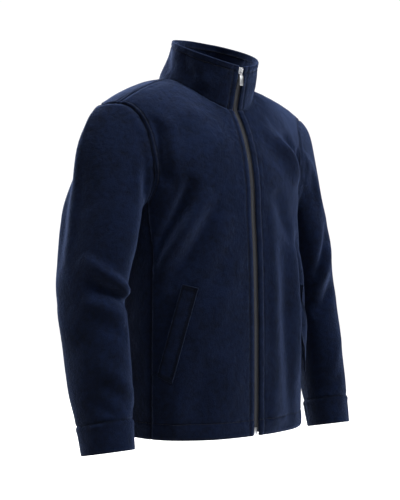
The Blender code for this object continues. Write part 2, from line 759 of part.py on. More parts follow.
def make_object(name, data, material, collection, smooth=True):
    points, faces = data
    mesh = bpy.data.meshes.new(name)
    mesh.from_pydata([tuple(point) for point in points], [], faces)
    mesh.materials.append(material)
    draft = bmesh.new()
    draft.from_mesh(mesh)
    if not any(edge.is_boundary for edge in draft.edges):
        bmesh.ops.recalc_face_normals(draft, faces=draft.faces)
    draft.to_mesh(mesh)
    draft.free()
    mesh.polygons.foreach_set("use_smooth", [smooth] * len(mesh.polygons))
    obj = bpy.data.objects.new(name, mesh)
    collection.objects.link(obj)
    return obj


def add_wall(obj, wall, folded=None):
    """Gives an open surface its cloth's thickness, more where the cloth is folded."""
    solidify = obj.modifiers.new("Wall", "SOLIDIFY")
    solidify.offset = -1.0
    solidify.use_even_offset = True
    solidify.use_quality_normals = True
    solidify.thickness = wall
    if folded:
        group = obj.vertex_groups.new(name="folded")
        group.add(folded, 1.0, "REPLACE")
        solidify.thickness = FOLDED_WALL
        solidify.vertex_group = "folded"
        solidify.thickness_vertex_group = wall / FOLDED_WALL
    return obj


def folded_points(obj, front):
    """Indices of a panel's points in the turned hem or, on a front, the facing."""
    found = []
    for vertex in obj.data.vertices:
        at_zip = front and abs(vertex.co.x) < ZIP_HALF_GAP + 0.004
        if at_zip or vertex.co.z < HEM_Z + HEM_DEPTH + 0.004:
            found.append(vertex.index)
    return found


def add_union(obj, other):
    boolean = obj.modifiers.new("Join " + other.name, "BOOLEAN")
    boolean.operation = "UNION"
    boolean.solver = "EXACT"
    boolean.object = other


def add_bevel(obj, width):
    bevel = obj.modifiers.new("Edges", "BEVEL")
    bevel.width = width
    bevel.segments = 2
    bevel.limit_method = "ANGLE"


def build_cloth(parts, fleece):
    """Builds the cloth pieces and returns the jacket's line at centre front."""
    front_places, back_places = panel_places(False), panel_places(True)
    half_backs, front_necks, back_necks = [], [], []
    neck = COLUMNS_TO_NECK + 1
    for side, word, front_folds, sleeve_folds in (
            (RIGHT, "right", RIGHT_FRONT_FOLDS, RIGHT_SLEEVE_FOLDS),
            (LEFT, "left", LEFT_FRONT_FOLDS, LEFT_SLEEVE_FOLDS)):
        grids = panel_grid(front_places, front_folds, side)
        mesh = panel_mesh(*grids, side == RIGHT)
        front = make_object("front_" + word, mesh, fleece, parts)
        add_wall(front, WALL, folded_points(front, True))
        welt = grid_mesh(welt_grid(grids[0], front_places[0], side), flip=side == RIGHT)
        add_wall(make_object("pocket_welt_" + word, welt, fleece, parts), WALL)

        backs = panel_grid(back_places, BACK_FOLDS, side)
        half_backs.append(backs)
        front_necks.append(grids[1][-1, :neck])
        back_necks.append(backs[1][-1, :neck])

        mirror = np.array([side, 1, 1])
        loop = armhole_loop(front_places, back_places, [grid * mirror for grid in grids],
                            [grid * mirror for grid in backs])
        sleeve = grid_mesh(sleeve_grid(loop, sleeve_folds, side), True, side == RIGHT)
        add_wall(make_object("sleeve_" + word, sleeve, fleece, parts), WALL)
        cuff = grid_mesh(cuff_grid(loop[2], side), True, side == RIGHT)
        add_wall(make_object("cuff_" + word, cuff, fleece, parts), WALL + CUFF_STEP)

    right, left = half_backs
    lower, upper = (np.concatenate([left[i][:, ::-1], right[i][:, 1:]], axis=1)
                    for i in (0, 1))
    back = make_object("back", panel_mesh(lower, upper, False), fleece, parts)
    add_wall(back, WALL, folded_points(back, False))

    collar = whole_collar(front_necks, back_necks)
    add_wall(make_object("collar", grid_mesh(collar, flip=True), fleece, parts), COLLAR_WALL)
    return centre_line(front_places, collar)


def build_zip(line, parts, helpers, tape, metal):
    rim = line[-1]
    lean = unit(line[-1] - line[-2])
    middle = rim - lean * SLIDER_DROP
    tilt = math.atan2(-lean[0], lean[1])
    outward = np.array([-lean[1], lean[0]])

    tape_line = cut_line(line, HEM_Z + 0.002 + BOX_SIZE[2] + 0.0004, rim[1] - 0.002)
    for side, word in ((RIGHT, "right"), (LEFT, "left")):
        low, high = sorted((side * TAPE_INNER_X, side * TAPE_OUTER_X))
        strip = strip_mesh(tape_line, low, high, TAPE_DEPTH, TAPE_WALL)
        make_object("zip_tape_" + word, strip, tape, parts, smooth=False)

    bridge = SLIDER_SIZE[2] * 0.3
    chain_top = middle + lean * (SLIDER_SIZE[2] / 2 - bridge - 0.0006)
    chain_bottom = HEM_Z + 0.002 + BOX_SIZE[2] + 0.0004
    chain_line = cut_line(line, chain_bottom, chain_top[1])
    strip = strip_mesh(chain_line, -CHAIN_HALF_WIDTH, CHAIN_HALF_WIDTH, CHAIN_DEPTH,
                       CHAIN_WALL)
    make_object("zip_chain", strip, tape, parts, smooth=False)

    def place(obj, along_zip, out):
        at = middle + lean * along_zip + outward * out
        obj.location = (0.0, at[0], at[1])
        obj.rotation_euler = (tilt, 0.0, 0.0)

    width, plate, height = SLIDER_SIZE
    slider = make_object("zip_slider", box_mesh(SLIDER_SIZE), metal, parts, smooth=False)
    plate_out = -CHAIN_DEPTH + 0.0006 + plate / 2
    place(slider, 0.0, plate_out)
    under = make_object("slider_under", box_mesh(SLIDER_SIZE), metal, helpers)
    place(under, 0.0, -CHAIN_DEPTH - CHAIN_WALL - 0.0006 - plate / 2)
    post_depth = CHAIN_WALL + 0.0012 + plate
    post = make_object("slider_post", box_mesh((0.0040, post_depth, bridge)), metal, helpers)
    place(post, (height - bridge) / 2, -CHAIN_DEPTH - CHAIN_WALL / 2)
    bail = make_object("slider_bail", arch_mesh(), metal, helpers)
    place(bail, 0.0, plate_out + plate / 2 - 0.0003)
    for helper in (under, post, bail):
        helper.display_type = "WIRE"
        helper.hide_render = True
        add_union(slider, helper)

    box = make_object("zip_box", box_mesh(BOX_SIZE), metal, parts, smooth=False)
    low = cut_line(line, HEM_Z + 0.002, HEM_Z + 0.002 + BOX_SIZE[2])
    depth = CHAIN_DEPTH + CHAIN_WALL / 2
    box.location = (0.0, low[:, 0].mean() + depth, low[:, 1].mean())
    add_bevel(box, 0.0004)

    # The pull hangs plumb from the low end of the bail's opening.
    xs = (-TAB_HALF_WIDTH, -EYE_HALF_WIDTH, -EYE_HOLE_HALF, EYE_HOLE_HALF,
          EYE_HALF_WIDTH, TAB_HALF_WIDTH)
    top = PULL_WIRE / 2
    zs = (top, -top, -EYE_HEIGHT + 0.0015, -EYE_HEIGHT, -EYE_HEIGHT - TAB_LENGTH)
    plan = (".###.", ".#.#.", ".###.", "#####")
    pull = make_object("zip_pull", plate_mesh(xs, zs, plan, PULL_WIRE), metal, parts,
                       smooth=False)
    hinge_along = -(BAIL_SPAN / 2 - BAIL_WIRE - PULL_WIRE / 2 - 0.0013)
    hinge_out = plate_out + plate / 2 + PULL_WIRE / 2 + 0.0006
    at = middle + lean * hinge_along + outward * hinge_out
    pull.location = (0.0, at[0], at[1])
    add_bevel(pull, 0.0003)


def main():
    clear_scene()
    parts = make_collection("fleece_zip_jacket")
    helpers = make_collection("fleece_zip_jacket_helpers", hidden=True)
    fleece = make_material("navy_fleece", (0.010, 0.016, 0.042), 0.95)
    tape = make_material("zip_tape", (0.045, 0.048, 0.060), 0.75)
    metal = make_material("zip_metal", (0.60, 0.62, 0.64), 0.35, 1.0)
    line = build_cloth(parts, fleece)
    build_zip(line, parts, helpers, tape, metal)


if __name__ == "__main__":
    main()
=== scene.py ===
import json
import logging
import math
from dataclasses import dataclass, field
from enum import Enum
from typing import Iterable, Optional, Sequence

import bmesh
import bpy
import numpy as np
from mathutils import Euler, Matrix, Vector, noise

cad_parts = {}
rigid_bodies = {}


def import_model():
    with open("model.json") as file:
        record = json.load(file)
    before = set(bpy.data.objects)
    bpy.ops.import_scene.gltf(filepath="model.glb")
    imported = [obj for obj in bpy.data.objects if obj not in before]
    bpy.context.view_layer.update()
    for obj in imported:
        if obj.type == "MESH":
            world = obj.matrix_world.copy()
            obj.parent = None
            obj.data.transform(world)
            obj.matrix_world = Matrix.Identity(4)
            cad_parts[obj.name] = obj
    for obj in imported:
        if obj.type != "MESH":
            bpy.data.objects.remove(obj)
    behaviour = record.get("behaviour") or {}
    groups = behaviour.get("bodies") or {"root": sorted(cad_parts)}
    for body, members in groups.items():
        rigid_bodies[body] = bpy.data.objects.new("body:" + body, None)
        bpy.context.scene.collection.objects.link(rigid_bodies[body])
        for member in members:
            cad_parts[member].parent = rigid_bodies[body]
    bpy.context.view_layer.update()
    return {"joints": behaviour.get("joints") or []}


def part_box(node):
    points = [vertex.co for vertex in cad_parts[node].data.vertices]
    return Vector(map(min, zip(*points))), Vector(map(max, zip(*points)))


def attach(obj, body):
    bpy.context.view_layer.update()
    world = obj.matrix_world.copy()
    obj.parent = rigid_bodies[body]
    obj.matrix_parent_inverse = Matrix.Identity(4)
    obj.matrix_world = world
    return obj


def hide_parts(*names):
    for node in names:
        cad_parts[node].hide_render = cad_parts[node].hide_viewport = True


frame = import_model()
LOG = logging.getLogger("jacket")
BODY_DEGREE = math.radians(1) * 0.15  # metres of cloth in a degree round the body
Array = np.ndarray


class Side(Enum):
    """The wearer's side, with its sign along X."""

    RIGHT = -1
    LEFT = 1

    @property
    def word(self) -> str:
        """The side's name in a piece's name."""
        return self.name.lower()


# ---- small geometry ----
def unit(vectors: Array) -> Array:
    """Vectors scaled to length 1, along the last axis."""
    vectors = np.asarray(vectors, float)
    return vectors / np.maximum(np.linalg.norm(vectors, axis=-1, keepdims=True), 1e-12)


def ease(part: Array) -> Array:
    """A smooth rise from 0 to 1 as part goes from 0 to 1."""
    part = np.clip(part, 0.0, 1.0)
    return part * part * (3 - 2 * part)


def bell(distance: Array, width: float, power: float = 2) -> Array:
    """A bump that is 1 at no distance and falls off over a width."""
    return np.exp(-(distance / width) ** power)


def spaced(total: float, fine_start: float, fine_end: float, fine: float,
           coarse: float) -> Array:
    """Shares from 0 to 1 along a length, close together near its ends.

    Args:
        total: The length, in metres.
        fine_start: Length at the start with close spacing.
        fine_end: Length at the end with close spacing.
        fine: The close spacing.
        coarse: The spacing between.

    Returns:
        Rising shares, with 0 and 1.
    """
    where, at = [0.0], 0.0
    while at < total - 1e-9:
        near = min(at - fine_start, total - fine_end - at)
        step = fine if near < 0 else min(coarse, fine + near * 0.25)
        at = min(at + step, total)
        where.append(at)
    shares = np.array(where) / total
    if len(shares) > 2 and shares[-1] - shares[-2] < 0.3 * (shares[-2] - shares[-3]):
        shares = np.delete(shares, -2)
    return shares


def along(places: Array, shares: Array, scale: Sequence[float]) -> Array:
    """Places at shares of the length of a path.

    Args:
        places: The path's own places, one a row.
        shares: Shares of its length, 0 to 1.
        scale: What each column counts for in its length.

    Returns:
        One place for each share.
    """
    places = np.asarray(places, float)
    run = np.concatenate([[0.0], np.cumsum(np.linalg.norm(
        np.diff(places, axis=0) * scale, axis=1))])
    wanted = shares * run[-1]
    return np.stack([np.interp(wanted, run, column) for column in places.T], axis=1)


class SmoothTable:
    """Rows of numbers read between the rows with no kink at them."""

    def __init__(self, rows: Sequence[Sequence[float]]) -> None:
        """Takes the rows.

        Args:
            rows: Rows of numbers, whose first column rises.
        """
        self.values = np.array(rows, float)
        self.keys = self.values[:, 0]
        self.slopes = np.gradient(self.values, self.keys, axis=0)

    def at(self, where: Array) -> Array:
        """Reads the table at values of its first column.

        Args:
            where: Values of the first column.

        Returns:
            The rows, with the columns on the last axis.
        """
        where = np.asarray(where, float)
        cell = np.clip(np.searchsorted(self.keys, where) - 1, 0, len(self.keys) - 2)
        span = self.keys[cell + 1] - self.keys[cell]
        part = np.clip((where - self.keys[cell]) / span, 0.0, 1.0)
        low, high = self.values[cell], self.values[cell + 1]
        start = (part * (1 - part) ** 2 * span)[..., None]
        end = (part * part * (part - 1) * span)[..., None]
        out = low + (high - low) * ease(part)[..., None]
        return out + self.slopes[cell] * start + self.slopes[cell + 1] * end


@dataclass(frozen=True)
class Crease:
    """A soft ridge, or a trough where its height is negative.

    Attributes:
        path: (degrees round, z in metres) of the points that it runs through.
        width: Half its width, in metres.
        height: How far it stands out.
        skew: From -0.7 to 0.7, how much steeper one flank is than the other.
    """

    path: tuple[tuple[float, float], ...]
    width: float
    height: float
    skew: float = 0.0

    def push(self, turn: Array, z: Array, per_degree: Array) -> Array:
        """How far the crease moves places out.

        Args:
            turn: Degrees round, of each place.
            z: Height of each place.
            per_degree: Metres of cloth in a degree.

        Returns:
            A height for each place.
        """
        path = np.array(self.path, float)
        best = np.full(np.shape(z), 1e9)
        share, sign = np.zeros(np.shape(z)), np.ones(np.shape(z))
        for i in range(len(path) - 1):
            (turn_a, z_a), (turn_b, z_b) = path[i], path[i + 1]
            du, dz = (turn_b - turn_a) * per_degree, z_b - z_a
            u = (((turn - turn_a + 180) % 360) - 180) * per_degree
            v = z - z_a
            t = np.clip((u * du + v * dz) / (du * du + dz * dz), 0.0, 1.0)
            off = np.hypot(u - t * du, v - t * dz)
            nearer = off < best
            best = np.where(nearer, off, best)
            share = np.where(nearer, (i + t) / (len(path) - 1), share)
            sign = np.where(nearer, np.sign(u * dz - v * du), sign)
        q = best / self.width
        q = q / (1 + self.skew * sign * np.tanh(q))
        taper = np.clip(4 * share * (1 - share), 0, 1) ** 0.8
        return self.height * taper * (1.2 * np.exp(-q * q) - 0.2 * np.exp(-q * q / 6))


def creased(creases: Iterable[Crease], turn: Array, z: Array, per_degree: Array) -> Array:
    """The sum of several creases' pushes.

    Args:
        creases: The creases.
        turn: Degrees round, of each place.
        z: Height of each place.
        per_degree: Metres of cloth in a degree.

    Returns:
        A height for each place.
    """
    out = np.zeros(np.shape(z))
    for crease in creases:
        out = out + crease.push(turn, z, per_degree)
    return out


def ripple(points: Array, size: float, seed: float) -> Array:
    """Smooth unevenness from about -1 to 1.

    Args:
        points: The points.
        size: Size of its features.
        seed: Picks another pattern.

    Returns:
        A value for each point.
    """
    flat = points.reshape(-1, 3) / size + seed
    values = np.fromiter((noise.noise(Vector(p)) for p in flat), float, len(flat))
    return (values * 1.6).reshape(points.shape[:-1])


# ---- cloth as a surface ----
@dataclass
class Cloth:
    """An open surface of four-sided cells, which is pushed about and then closed.

    Attributes:
        points: One point a row.
        cells: Four point numbers a row, anticlockwise seen from outside.
        thickness: The cloth's thickness at each point.
        seam: From 0 to 1 at each point, how deep it lies in a seam or under a stitch,
        which darkens the fleece's colour as painted shade.
        ways: The direction of the thickness at each point, kept from before the folds.
    """

    points: Array
    cells: Array
    thickness: Array
    seam: Array
    ways: Optional[Array] = None

    @staticmethod
    def grid_cells(index: Array) -> Array:
        """The cells between rows and columns of point numbers."""
        return np.stack([index[:-1, :-1], index[:-1, 1:], index[1:, 1:], index[1:, :-1]],
                        axis=-1).reshape(-1, 4)

    @classmethod
    def from_grid(cls, grid: Array, thickness: float, closed: bool = False,
                  flip: bool = False) -> "Cloth":
        """Makes the surface of a grid of points.

        Args:
            grid: Rows and columns of points.
            thickness: The cloth's thickness.
            closed: Whether the last column joins the first.
            flip: Whether the other face is the outside.

        Returns:
            The surface, with the grid's points in its order.
        """
        rows, columns = grid.shape[:2]
        index = np.arange(rows * columns).reshape(rows, columns)
        if closed:
            index = np.concatenate([index, index[:, :1]], axis=1)
        cells = cls.grid_cells(index)
        points = grid.reshape(-1, 3).copy()
        cells = cells[:, ::-1] if flip else cells
        return cls(points, cells, np.full(len(points), thickness), np.zeros(len(points)))

    def normals(self) -> Array:
        """The outward direction at each point."""
        corner = self.points[self.cells]
        face = np.cross(corner[:, 2] - corner[:, 0], corner[:, 3] - corner[:, 1])
        out = np.zeros_like(self.points)
        for k in range(4):
            np.add.at(out, self.cells[:, k], face)
        return unit(out)

    def push(self, heights: Array) -> None:
        """Moves each point out by its height.

        Args:
            heights: A height for each point.
        """
        ways = self.normals()
        self.ways = ways if self.ways is None else self.ways
        self.points = self.points + ways * np.asarray(heights).reshape(-1, 1)

    def close(self, bulge: float = 1.0, rim_steps: int = 6) -> tuple[Array, list, Array]:
        """Gives the surface its thickness and rounds its edges.

        Args:
            bulge: 1 makes an edge a half circle, and less makes it flatter.
            rim_steps: Strips across an edge.

        Returns:
            Points, faces, and the seam value at each point, of one closed body; the seam
            value darkens the fleece's colour as painted shade.
        """
        normal = self.normals() if self.ways is None else self.ways
        inner = self.points - normal * self.thickness[:, None]
        count = len(self.points)
        ends = np.concatenate([self.cells[:, [k, (k + 1) % 4]] for k in range(4)])
        key = np.sort(ends, axis=1)
        _, inverse, counts = np.unique(key, axis=0, return_inverse=True, return_counts=True)
        rim = ends[counts[inverse.reshape(-1)] == 1]
        out = np.zeros_like(self.points)
        run = self.points[rim[:, 1]] - self.points[rim[:, 0]]
        across = unit(np.cross(run, normal[rim[:, 0]] + normal[rim[:, 1]]))
        np.add.at(out, rim[:, 0], across)
        np.add.at(out, rim[:, 1], across)
        edge = np.unique(rim)
        place = {int(v): i for i, v in enumerate(edge)}
        half = self.thickness[edge, None] / 2
        middle = self.points[edge] - normal[edge] * half
        points, seam = [self.points, inner], [self.seam, self.seam]
        faces = [tuple(cell) for cell in self.cells.tolist()]
        faces += [tuple(v + count for v in cell[::-1]) for cell in self.cells.tolist()]
        for k in range(1, rim_steps):
            turn = math.pi * k / rim_steps
            points.append(middle + normal[edge] * half * math.cos(turn)
                          + unit(out[edge]) * half * math.sin(turn) * bulge)
            seam.append(self.seam[edge])

        def ring(vertex: int, k: int) -> int:
            """The point some steps round the edge from a vertex of the rim.

            Args:
                vertex: The vertex's number.
                k: The steps.

            Returns:
                The point's number.
            """
            if k == 0:
                return vertex
            if k == rim_steps:
                return vertex + count
            return 2 * count + (k - 1) * len(edge) + place[vertex]

        for a, b in rim.tolist():
            for k in range(rim_steps):
                faces.append((ring(b, k), ring(a, k), ring(a, k + 1), ring(b, k + 1)))
        return np.concatenate(points), faces, np.concatenate(seam)


def mesh_object(name: str, points: Array, faces: Sequence[Sequence[int]],
                seam: Optional[Array] = None) -> bpy.types.Object:
    """Makes a mesh object.

    Args:
        name: Its name.
        points: One point a row.
        faces: Point numbers of each face.
        seam: The seam value at each point, stored as an attribute that darkens the
        fleece's colour as painted shade.

    Returns:
        The object, shaded smooth, in the scene.
    """
    mesh = bpy.data.meshes.new(name)
    mesh.from_pydata(np.asarray(points).tolist(), [], faces)
    if seam is not None:
        attribute = mesh.attributes.new("seam", "FLOAT", "POINT")
        attribute.data.foreach_set("value", np.asarray(seam, np.float32))
    mesh.polygons.foreach_set("use_smooth", [True] * len(mesh.polygons))
    mesh.update()
    made = bpy.data.objects.new(name, mesh)
    bpy.context.scene.collection.objects.link(made)
    return made


def run_from(grid: Array, axis: int, from_end: bool) -> Array:
    """Length of cloth from a grid's edge to each of its points.

    Args:
        grid: The grid.
        axis: 0 along its columns, 1 along its rows.
        from_end: Whether to start at the last row or column.

    Returns:
        A length for each point.
    """
    steps = np.linalg.norm(np.diff(grid, axis=axis), axis=-1)
    run = np.concatenate([np.zeros_like(np.take(steps, [0], axis)), np.cumsum(steps, axis)],
                         axis)
    return np.take(run, [-1], axis) - run if from_end else run


def line_at(grid: Array, normals: Array, run: Array, distance: float,
            axis: int) -> tuple[Array, Array]:
    """The line on a grid at a length from one of its edges, with its outward directions.

    Args:
        grid: Rows and columns of points.
        normals: The outward direction at each.
        run: Length from the edge to each point.
        distance: The length wanted.
        axis: 0 where the length runs down the columns, 1 along the rows.

    Returns:
        Points and directions, one for each column or row.
    """
    if axis == 0:
        grid, normals, run = (np.swapaxes(a, 0, 1) for a in (grid, normals, run))
    points, ways = [], []
    for row, way, lengths in zip(grid, normals, run):
        order = np.argsort(lengths)
        points.append([np.interp(distance, lengths[order], row[order, k]) for k in range(3)])
        ways.append([np.interp(distance, lengths[order], way[order, k]) for k in range(3)])
    return np.array(points), unit(np.array(ways))


# ---- the garment's form ----
@dataclass
class BodyForm:
    """The torso, from the hem over the shoulders.

    A place on it is an angle round it, 0 at centre front and 180 at centre back, and a
    rise, the length of cloth above the armpits, which passes over the shoulder.

    Attributes:
        armpit_z: Height of the armpits.
        hem_z: Height of the hem.
        arch_run: Rise at the top of the shoulder.
        power: Squareness of its slices: 2 makes them ellipses.
        neck_half_width: Half the neckline's width.
        neck_half_depth: Half of it from front to back.
        neck_y: The neckline's middle, from front to back.
        neck_top: (y, z) where the shoulder meets the neck.
        tip: (x, y) of the shoulder's tip.
        armhole_angle: Degrees round of the armhole's front edge above its curve.
        curve_top: Rise at which that curve starts.
        armhole_low: Rise of the armhole's bottom.
        seam_angles: Degrees round of the side seam at the hem and at the arm.
        seam_arch_at_arm: Degrees over the shoulder of its seam at the arm.
        zip_edge: From the middle to a front's edge.
        slices: Height, half width, then depth in front and behind.
        shoulders: Degrees over the shoulder, then half width.
    """

    armpit_z: float = -0.260
    hem_z: float = -0.674
    arch_run: float = 0.270
    power: float = 2.4
    neck_half_width: float = 0.093
    neck_half_depth: float = 0.0930
    neck_y: float = 0.0105
    neck_top: tuple[float, float] = (0.045, 0.001)
    tip: tuple[float, float] = (0.244, 0.010)
    armhole_angle: float = 60.5
    curve_top: float = 0.075
    armhole_low: float = -0.002
    seam_angles: tuple[float, float] = (70.0, 74.0)
    seam_arch_at_arm: float = 72.0
    zip_edge: float = 0.0084
    slices: SmoothTable = field(default_factory=lambda: SmoothTable((
        (-0.674, 0.190, 0.1430, 0.108),
        (-0.600, 0.190, 0.1440, 0.105),
        (-0.500, 0.190, 0.1440, 0.102),
        (-0.420, 0.189, 0.1430, 0.101),
        (-0.330, 0.186, 0.1400, 0.106),
        (-0.260, 0.184, 0.1350, 0.114))))
    shoulders: SmoothTable = field(default_factory=lambda: SmoothTable((
        (0, 0.184), (10, 0.190), (20, 0.2015), (40, 0.212), (60, 0.232), (75, 0.255),
        (90, 0.2745))))

    def top(self, x: Array, front: Array) -> Array:
        """Height of the top of the shoulder at a distance from the middle.

        Args:
            x: Distance from the middle.
            front: Whether each place is on the front.

        Returns:
            The heights.
        """
        out = np.maximum(x - self.neck_half_width, 0.0)
        top = self.neck_top[1] - 0.22 * out - 1.45 * out * out
        rise = 0.12 * np.cos(math.pi / 2 * np.minimum(x / self.neck_half_width, 1)) ** 2
        return top + np.where(front, 0.0, rise)

    def place(self, angle: Array, rise: Array) -> Array:
        """Points of the smooth form, on the side of +X.

        Args:
            angle: Degrees round from centre front.
            rise: Length of cloth up from the armpits.

        Returns:
            The points.
        """
        angle, rise = np.broadcast_arrays(np.asarray(angle, float), np.asarray(rise, float))
        arch = 90 * rise / self.arch_run
        over = arch > 90
        angle, arch = np.where(over, 180 - angle, angle), np.where(over, 180 - arch, arch)
        front = angle < 90
        cut = self.slices.at(self.armpit_z + np.minimum(rise, 0.0))
        wide = self.shoulders.at(np.clip(arch, 0.0, 90.0))[..., 1]
        half = np.where(arch > 0, wide, cut[..., 1])
        turn, climb = np.radians(angle), np.radians(np.clip(arch, 0.0, 90.0))
        x = half * np.maximum(np.sin(turn), 0.0) ** (2 / self.power)
        out = np.abs(np.cos(turn)) ** (2 / self.power)
        y = np.where(front, -cut[..., 2], cut[..., 3]) * out
        bend = 2 / (2.2 + 0.4 * np.clip((angle - 80) / 20, 0.0, 1.0))
        up, lean = np.sin(climb) ** bend, np.maximum(np.cos(climb), 0.0) ** bend
        slope = (self.neck_top[0] - self.tip[1]) / (self.tip[0] - self.neck_half_width)
        top_y = self.neck_top[0] - slope * np.maximum(x - self.neck_half_width, 0.0)
        z = self.armpit_z + (self.top(x, front) - self.armpit_z) * up
        flat = arch <= 0
        y = np.where(flat, y, top_y + (y - top_y) * lean)
        return np.stack([x, y, np.where(flat, self.armpit_z + rise, z)], axis=-1)

    def normal(self, angle: Array, rise: Array) -> Array:
        """The outward directions of the smooth form.

        Args:
            angle: Degrees round from centre front.
            rise: Length of cloth up from the armpits.

        Returns:
            The directions.
        """
        across = self.place(angle + 0.5, rise) - self.place(np.maximum(angle - 0.5, 0), rise)
        up = self.place(angle, rise + 0.002) - self.place(angle, rise - 0.002)
        return unit(np.cross(across, up))

    def over(self, x: Array, y: Array) -> tuple[Array, Array]:
        """Finds the shoulders' points over places in plan.

        Args:
            x: Distance from the middle.
            y: Place from front to back.

        Returns:
            Their angles and rises.
        """
        low, high = np.zeros(np.shape(x)), np.full(np.shape(x), 2 * self.arch_run)
        for _ in range(40):
            rise = (low + high) / 2
            arch = 90 * rise / self.arch_run
            half = self.shoulders.at(np.minimum(arch, 180 - arch))[..., 1]
            angle = np.degrees(np.arcsin(np.clip(x / half, 0, 1) ** (self.power / 2)))
            short = self.place(angle, rise)[..., 1] < y
            low, high = np.where(short, rise, low), np.where(short, high, rise)
        return angle, high

    def centre(self, rise: Array, gap: float) -> Array:
        """Angle at which the front is at a distance from the middle.

        Args:
            rise: Length of cloth up from the armpits.
            gap: Distance from the middle.

        Returns:
            An angle for each rise.
        """
        low, high = np.zeros(np.shape(rise)), np.full(np.shape(rise), 20.0)
        for _ in range(40):
            middle = (low + high) / 2
            short = self.place(middle, rise)[..., 0] < gap
            low, high = np.where(short, middle, low), np.where(short, high, middle)
        return high

    def neckline(self, turn: Array, back: bool) -> Array:
        """Places along the neckline.

        Args:
            turn: Degrees round the neck from centre front.
            back: Whether to give them as places on the back.

        Returns:
            (angle, rise) rows.
        """
        x = np.maximum(self.neck_half_width * np.sin(np.radians(turn)), 0.0)
        y = self.neck_y - self.neck_half_depth * np.cos(np.radians(turn))
        angle, rise = self.over(x, y)
        if back:
            angle, rise = 180 - angle, 2 * self.arch_run - rise
        return np.stack([angle, rise], axis=-1)

    def armhole(self, turn: Array) -> Array:
        """Places along the armhole.

        Args:
            turn: Degrees round it: 0 high on the front, 180 at its bottom.

        Returns:
            (angle, rise) rows.
        """
        turn, legs = np.asarray(turn, float), 100.0
        part = np.minimum(np.minimum(turn, 360 - turn) / legs, 1.0)
        leg_rise = self.arch_run + (self.curve_top - self.arch_run) * part
        leg_angle = np.where(turn < 180, self.armhole_angle, 180 - self.armhole_angle)
        half_turn = np.radians(np.clip((turn - legs) / (360 - 2 * legs), 0, 1) * 180)
        power, side = 2 / 1.9, np.cos(half_turn)
        reach = np.copysign(np.abs(side) ** power, side)
        drop = np.maximum(np.sin(half_turn), 0.0) ** power
        on_leg = (turn < legs) | (turn > 360 - legs)
        angle = np.where(on_leg, leg_angle, 90 - (90 - self.armhole_angle) * reach)
        low = self.curve_top + (self.armhole_low - self.curve_top) * drop
        return np.stack([angle, np.where(on_leg, leg_rise, low)], axis=-1)

    def foot(self) -> float:
        """The turn of the armhole at which the side seam meets it."""
        turns = np.linspace(100, 180, 4001)
        return float(np.interp(self.seam_angles[1], self.armhole(turns)[:, 0], turns))

    def shoulder_seam(self, part: Array, back: bool) -> Array:
        """Places along the shoulder seam.

        Args:
            part: Share of the seam from the neck to the arm.
            back: Whether to give them as places on the back.

        Returns:
            (angle, rise) rows.
        """
        neck = self.neckline(np.array(90.0), False)
        arm = np.array([self.armhole_angle, self.arch_run * self.seam_arch_at_arm / 90])
        place = neck + (arm - neck) * np.asarray(part)[:, None]
        if back:
            place = np.array([180, 2 * self.arch_run]) - place
        return place

    def side_seam(self, rise: Array) -> Array:
        """Angle of the side seam at each rise."""
        low, high = self.seam_angles
        return low + (high - low) * ease((rise + 0.09) / 0.1)


@dataclass
class SleeveForm:
    """The sleeve as rings down the arm.

    A place is degrees round from the outside by way of the front, and a ring's number.

    Attributes:
        turn_in: How far the arm's outside is turned forward, in degrees.
        rings: A ring's number, its middle's z, x and y, and its two radii.
    """

    turn_in: float = 20.0
    rings: SmoothTable = field(default_factory=lambda: SmoothTable((
        (0, -0.2700, 0.2460, 0.0080, 0.0825, 0.0505),
        (1, -0.3110, 0.2550, 0.0050, 0.0810, 0.0485),
        (2, -0.3570, 0.2640, 0.0035, 0.0760, 0.0485),
        (3, -0.4000, 0.2690, 0.0035, 0.0725, 0.0495),
        (4, -0.4425, 0.2725, -0.0040, 0.0685, 0.0475),
        (5, -0.5060, 0.2730, -0.0180, 0.0675, 0.0450),
        (6, -0.5850, 0.2725, -0.0330, 0.0625, 0.0445),
        (7, -0.6365, 0.2720, -0.0440, 0.0545, 0.0425),
        (8, -0.6885, 0.2715, -0.0545, 0.0500, 0.0410))))

    def axis(self, at: Array) -> Array:
        """The way down the arm.

        Args:
            at: A ring's number, or between two.

        Returns:
            The way down.
        """
        ahead = self.rings.at(np.minimum(np.asarray(at) + 0.1, 8))
        behind = self.rings.at(np.maximum(np.asarray(at) - 0.1, 0))
        step = ahead - behind
        return unit(np.stack([step[..., 2], step[..., 3], step[..., 1]], axis=-1))

    def place(self, turn: Array, at: Array, grow: float = 0.0) -> Array:
        """Points of the smooth tube.

        Args:
            turn: Degrees round from the outside by way of the front.
            at: A ring's number, or between two.
            grow: How much larger to make the tube.

        Returns:
            The points.
        """
        turn, at = np.broadcast_arrays(np.asarray(turn, float), np.asarray(at, float))
        row, axis = self.rings.at(at), self.axis(at)
        bend = math.radians(self.turn_in)
        forward = np.array([-math.sin(bend), -math.cos(bend), 0.0])
        forward = unit(forward - axis * (axis @ forward)[..., None])
        outward = np.cross(forward, axis)
        outward = outward * np.where(outward[..., :1] < 0, -1.0, 1.0)
        angle = np.radians(turn)[..., None]
        centre = np.stack([row[..., 2], row[..., 3], row[..., 1]], axis=-1)
        return (centre + forward * (row[..., 4:5] + grow) * np.sin(angle)
                + outward * (row[..., 5:6] + grow) * np.cos(angle))


# ---- stitches ----
@dataclass
class StitchLine:
    """A row of stitches on the cloth.

    Attributes:
        points: The line that it follows.
        ways: The cloth's outward direction along it.
    """

    points: Array
    ways: Array


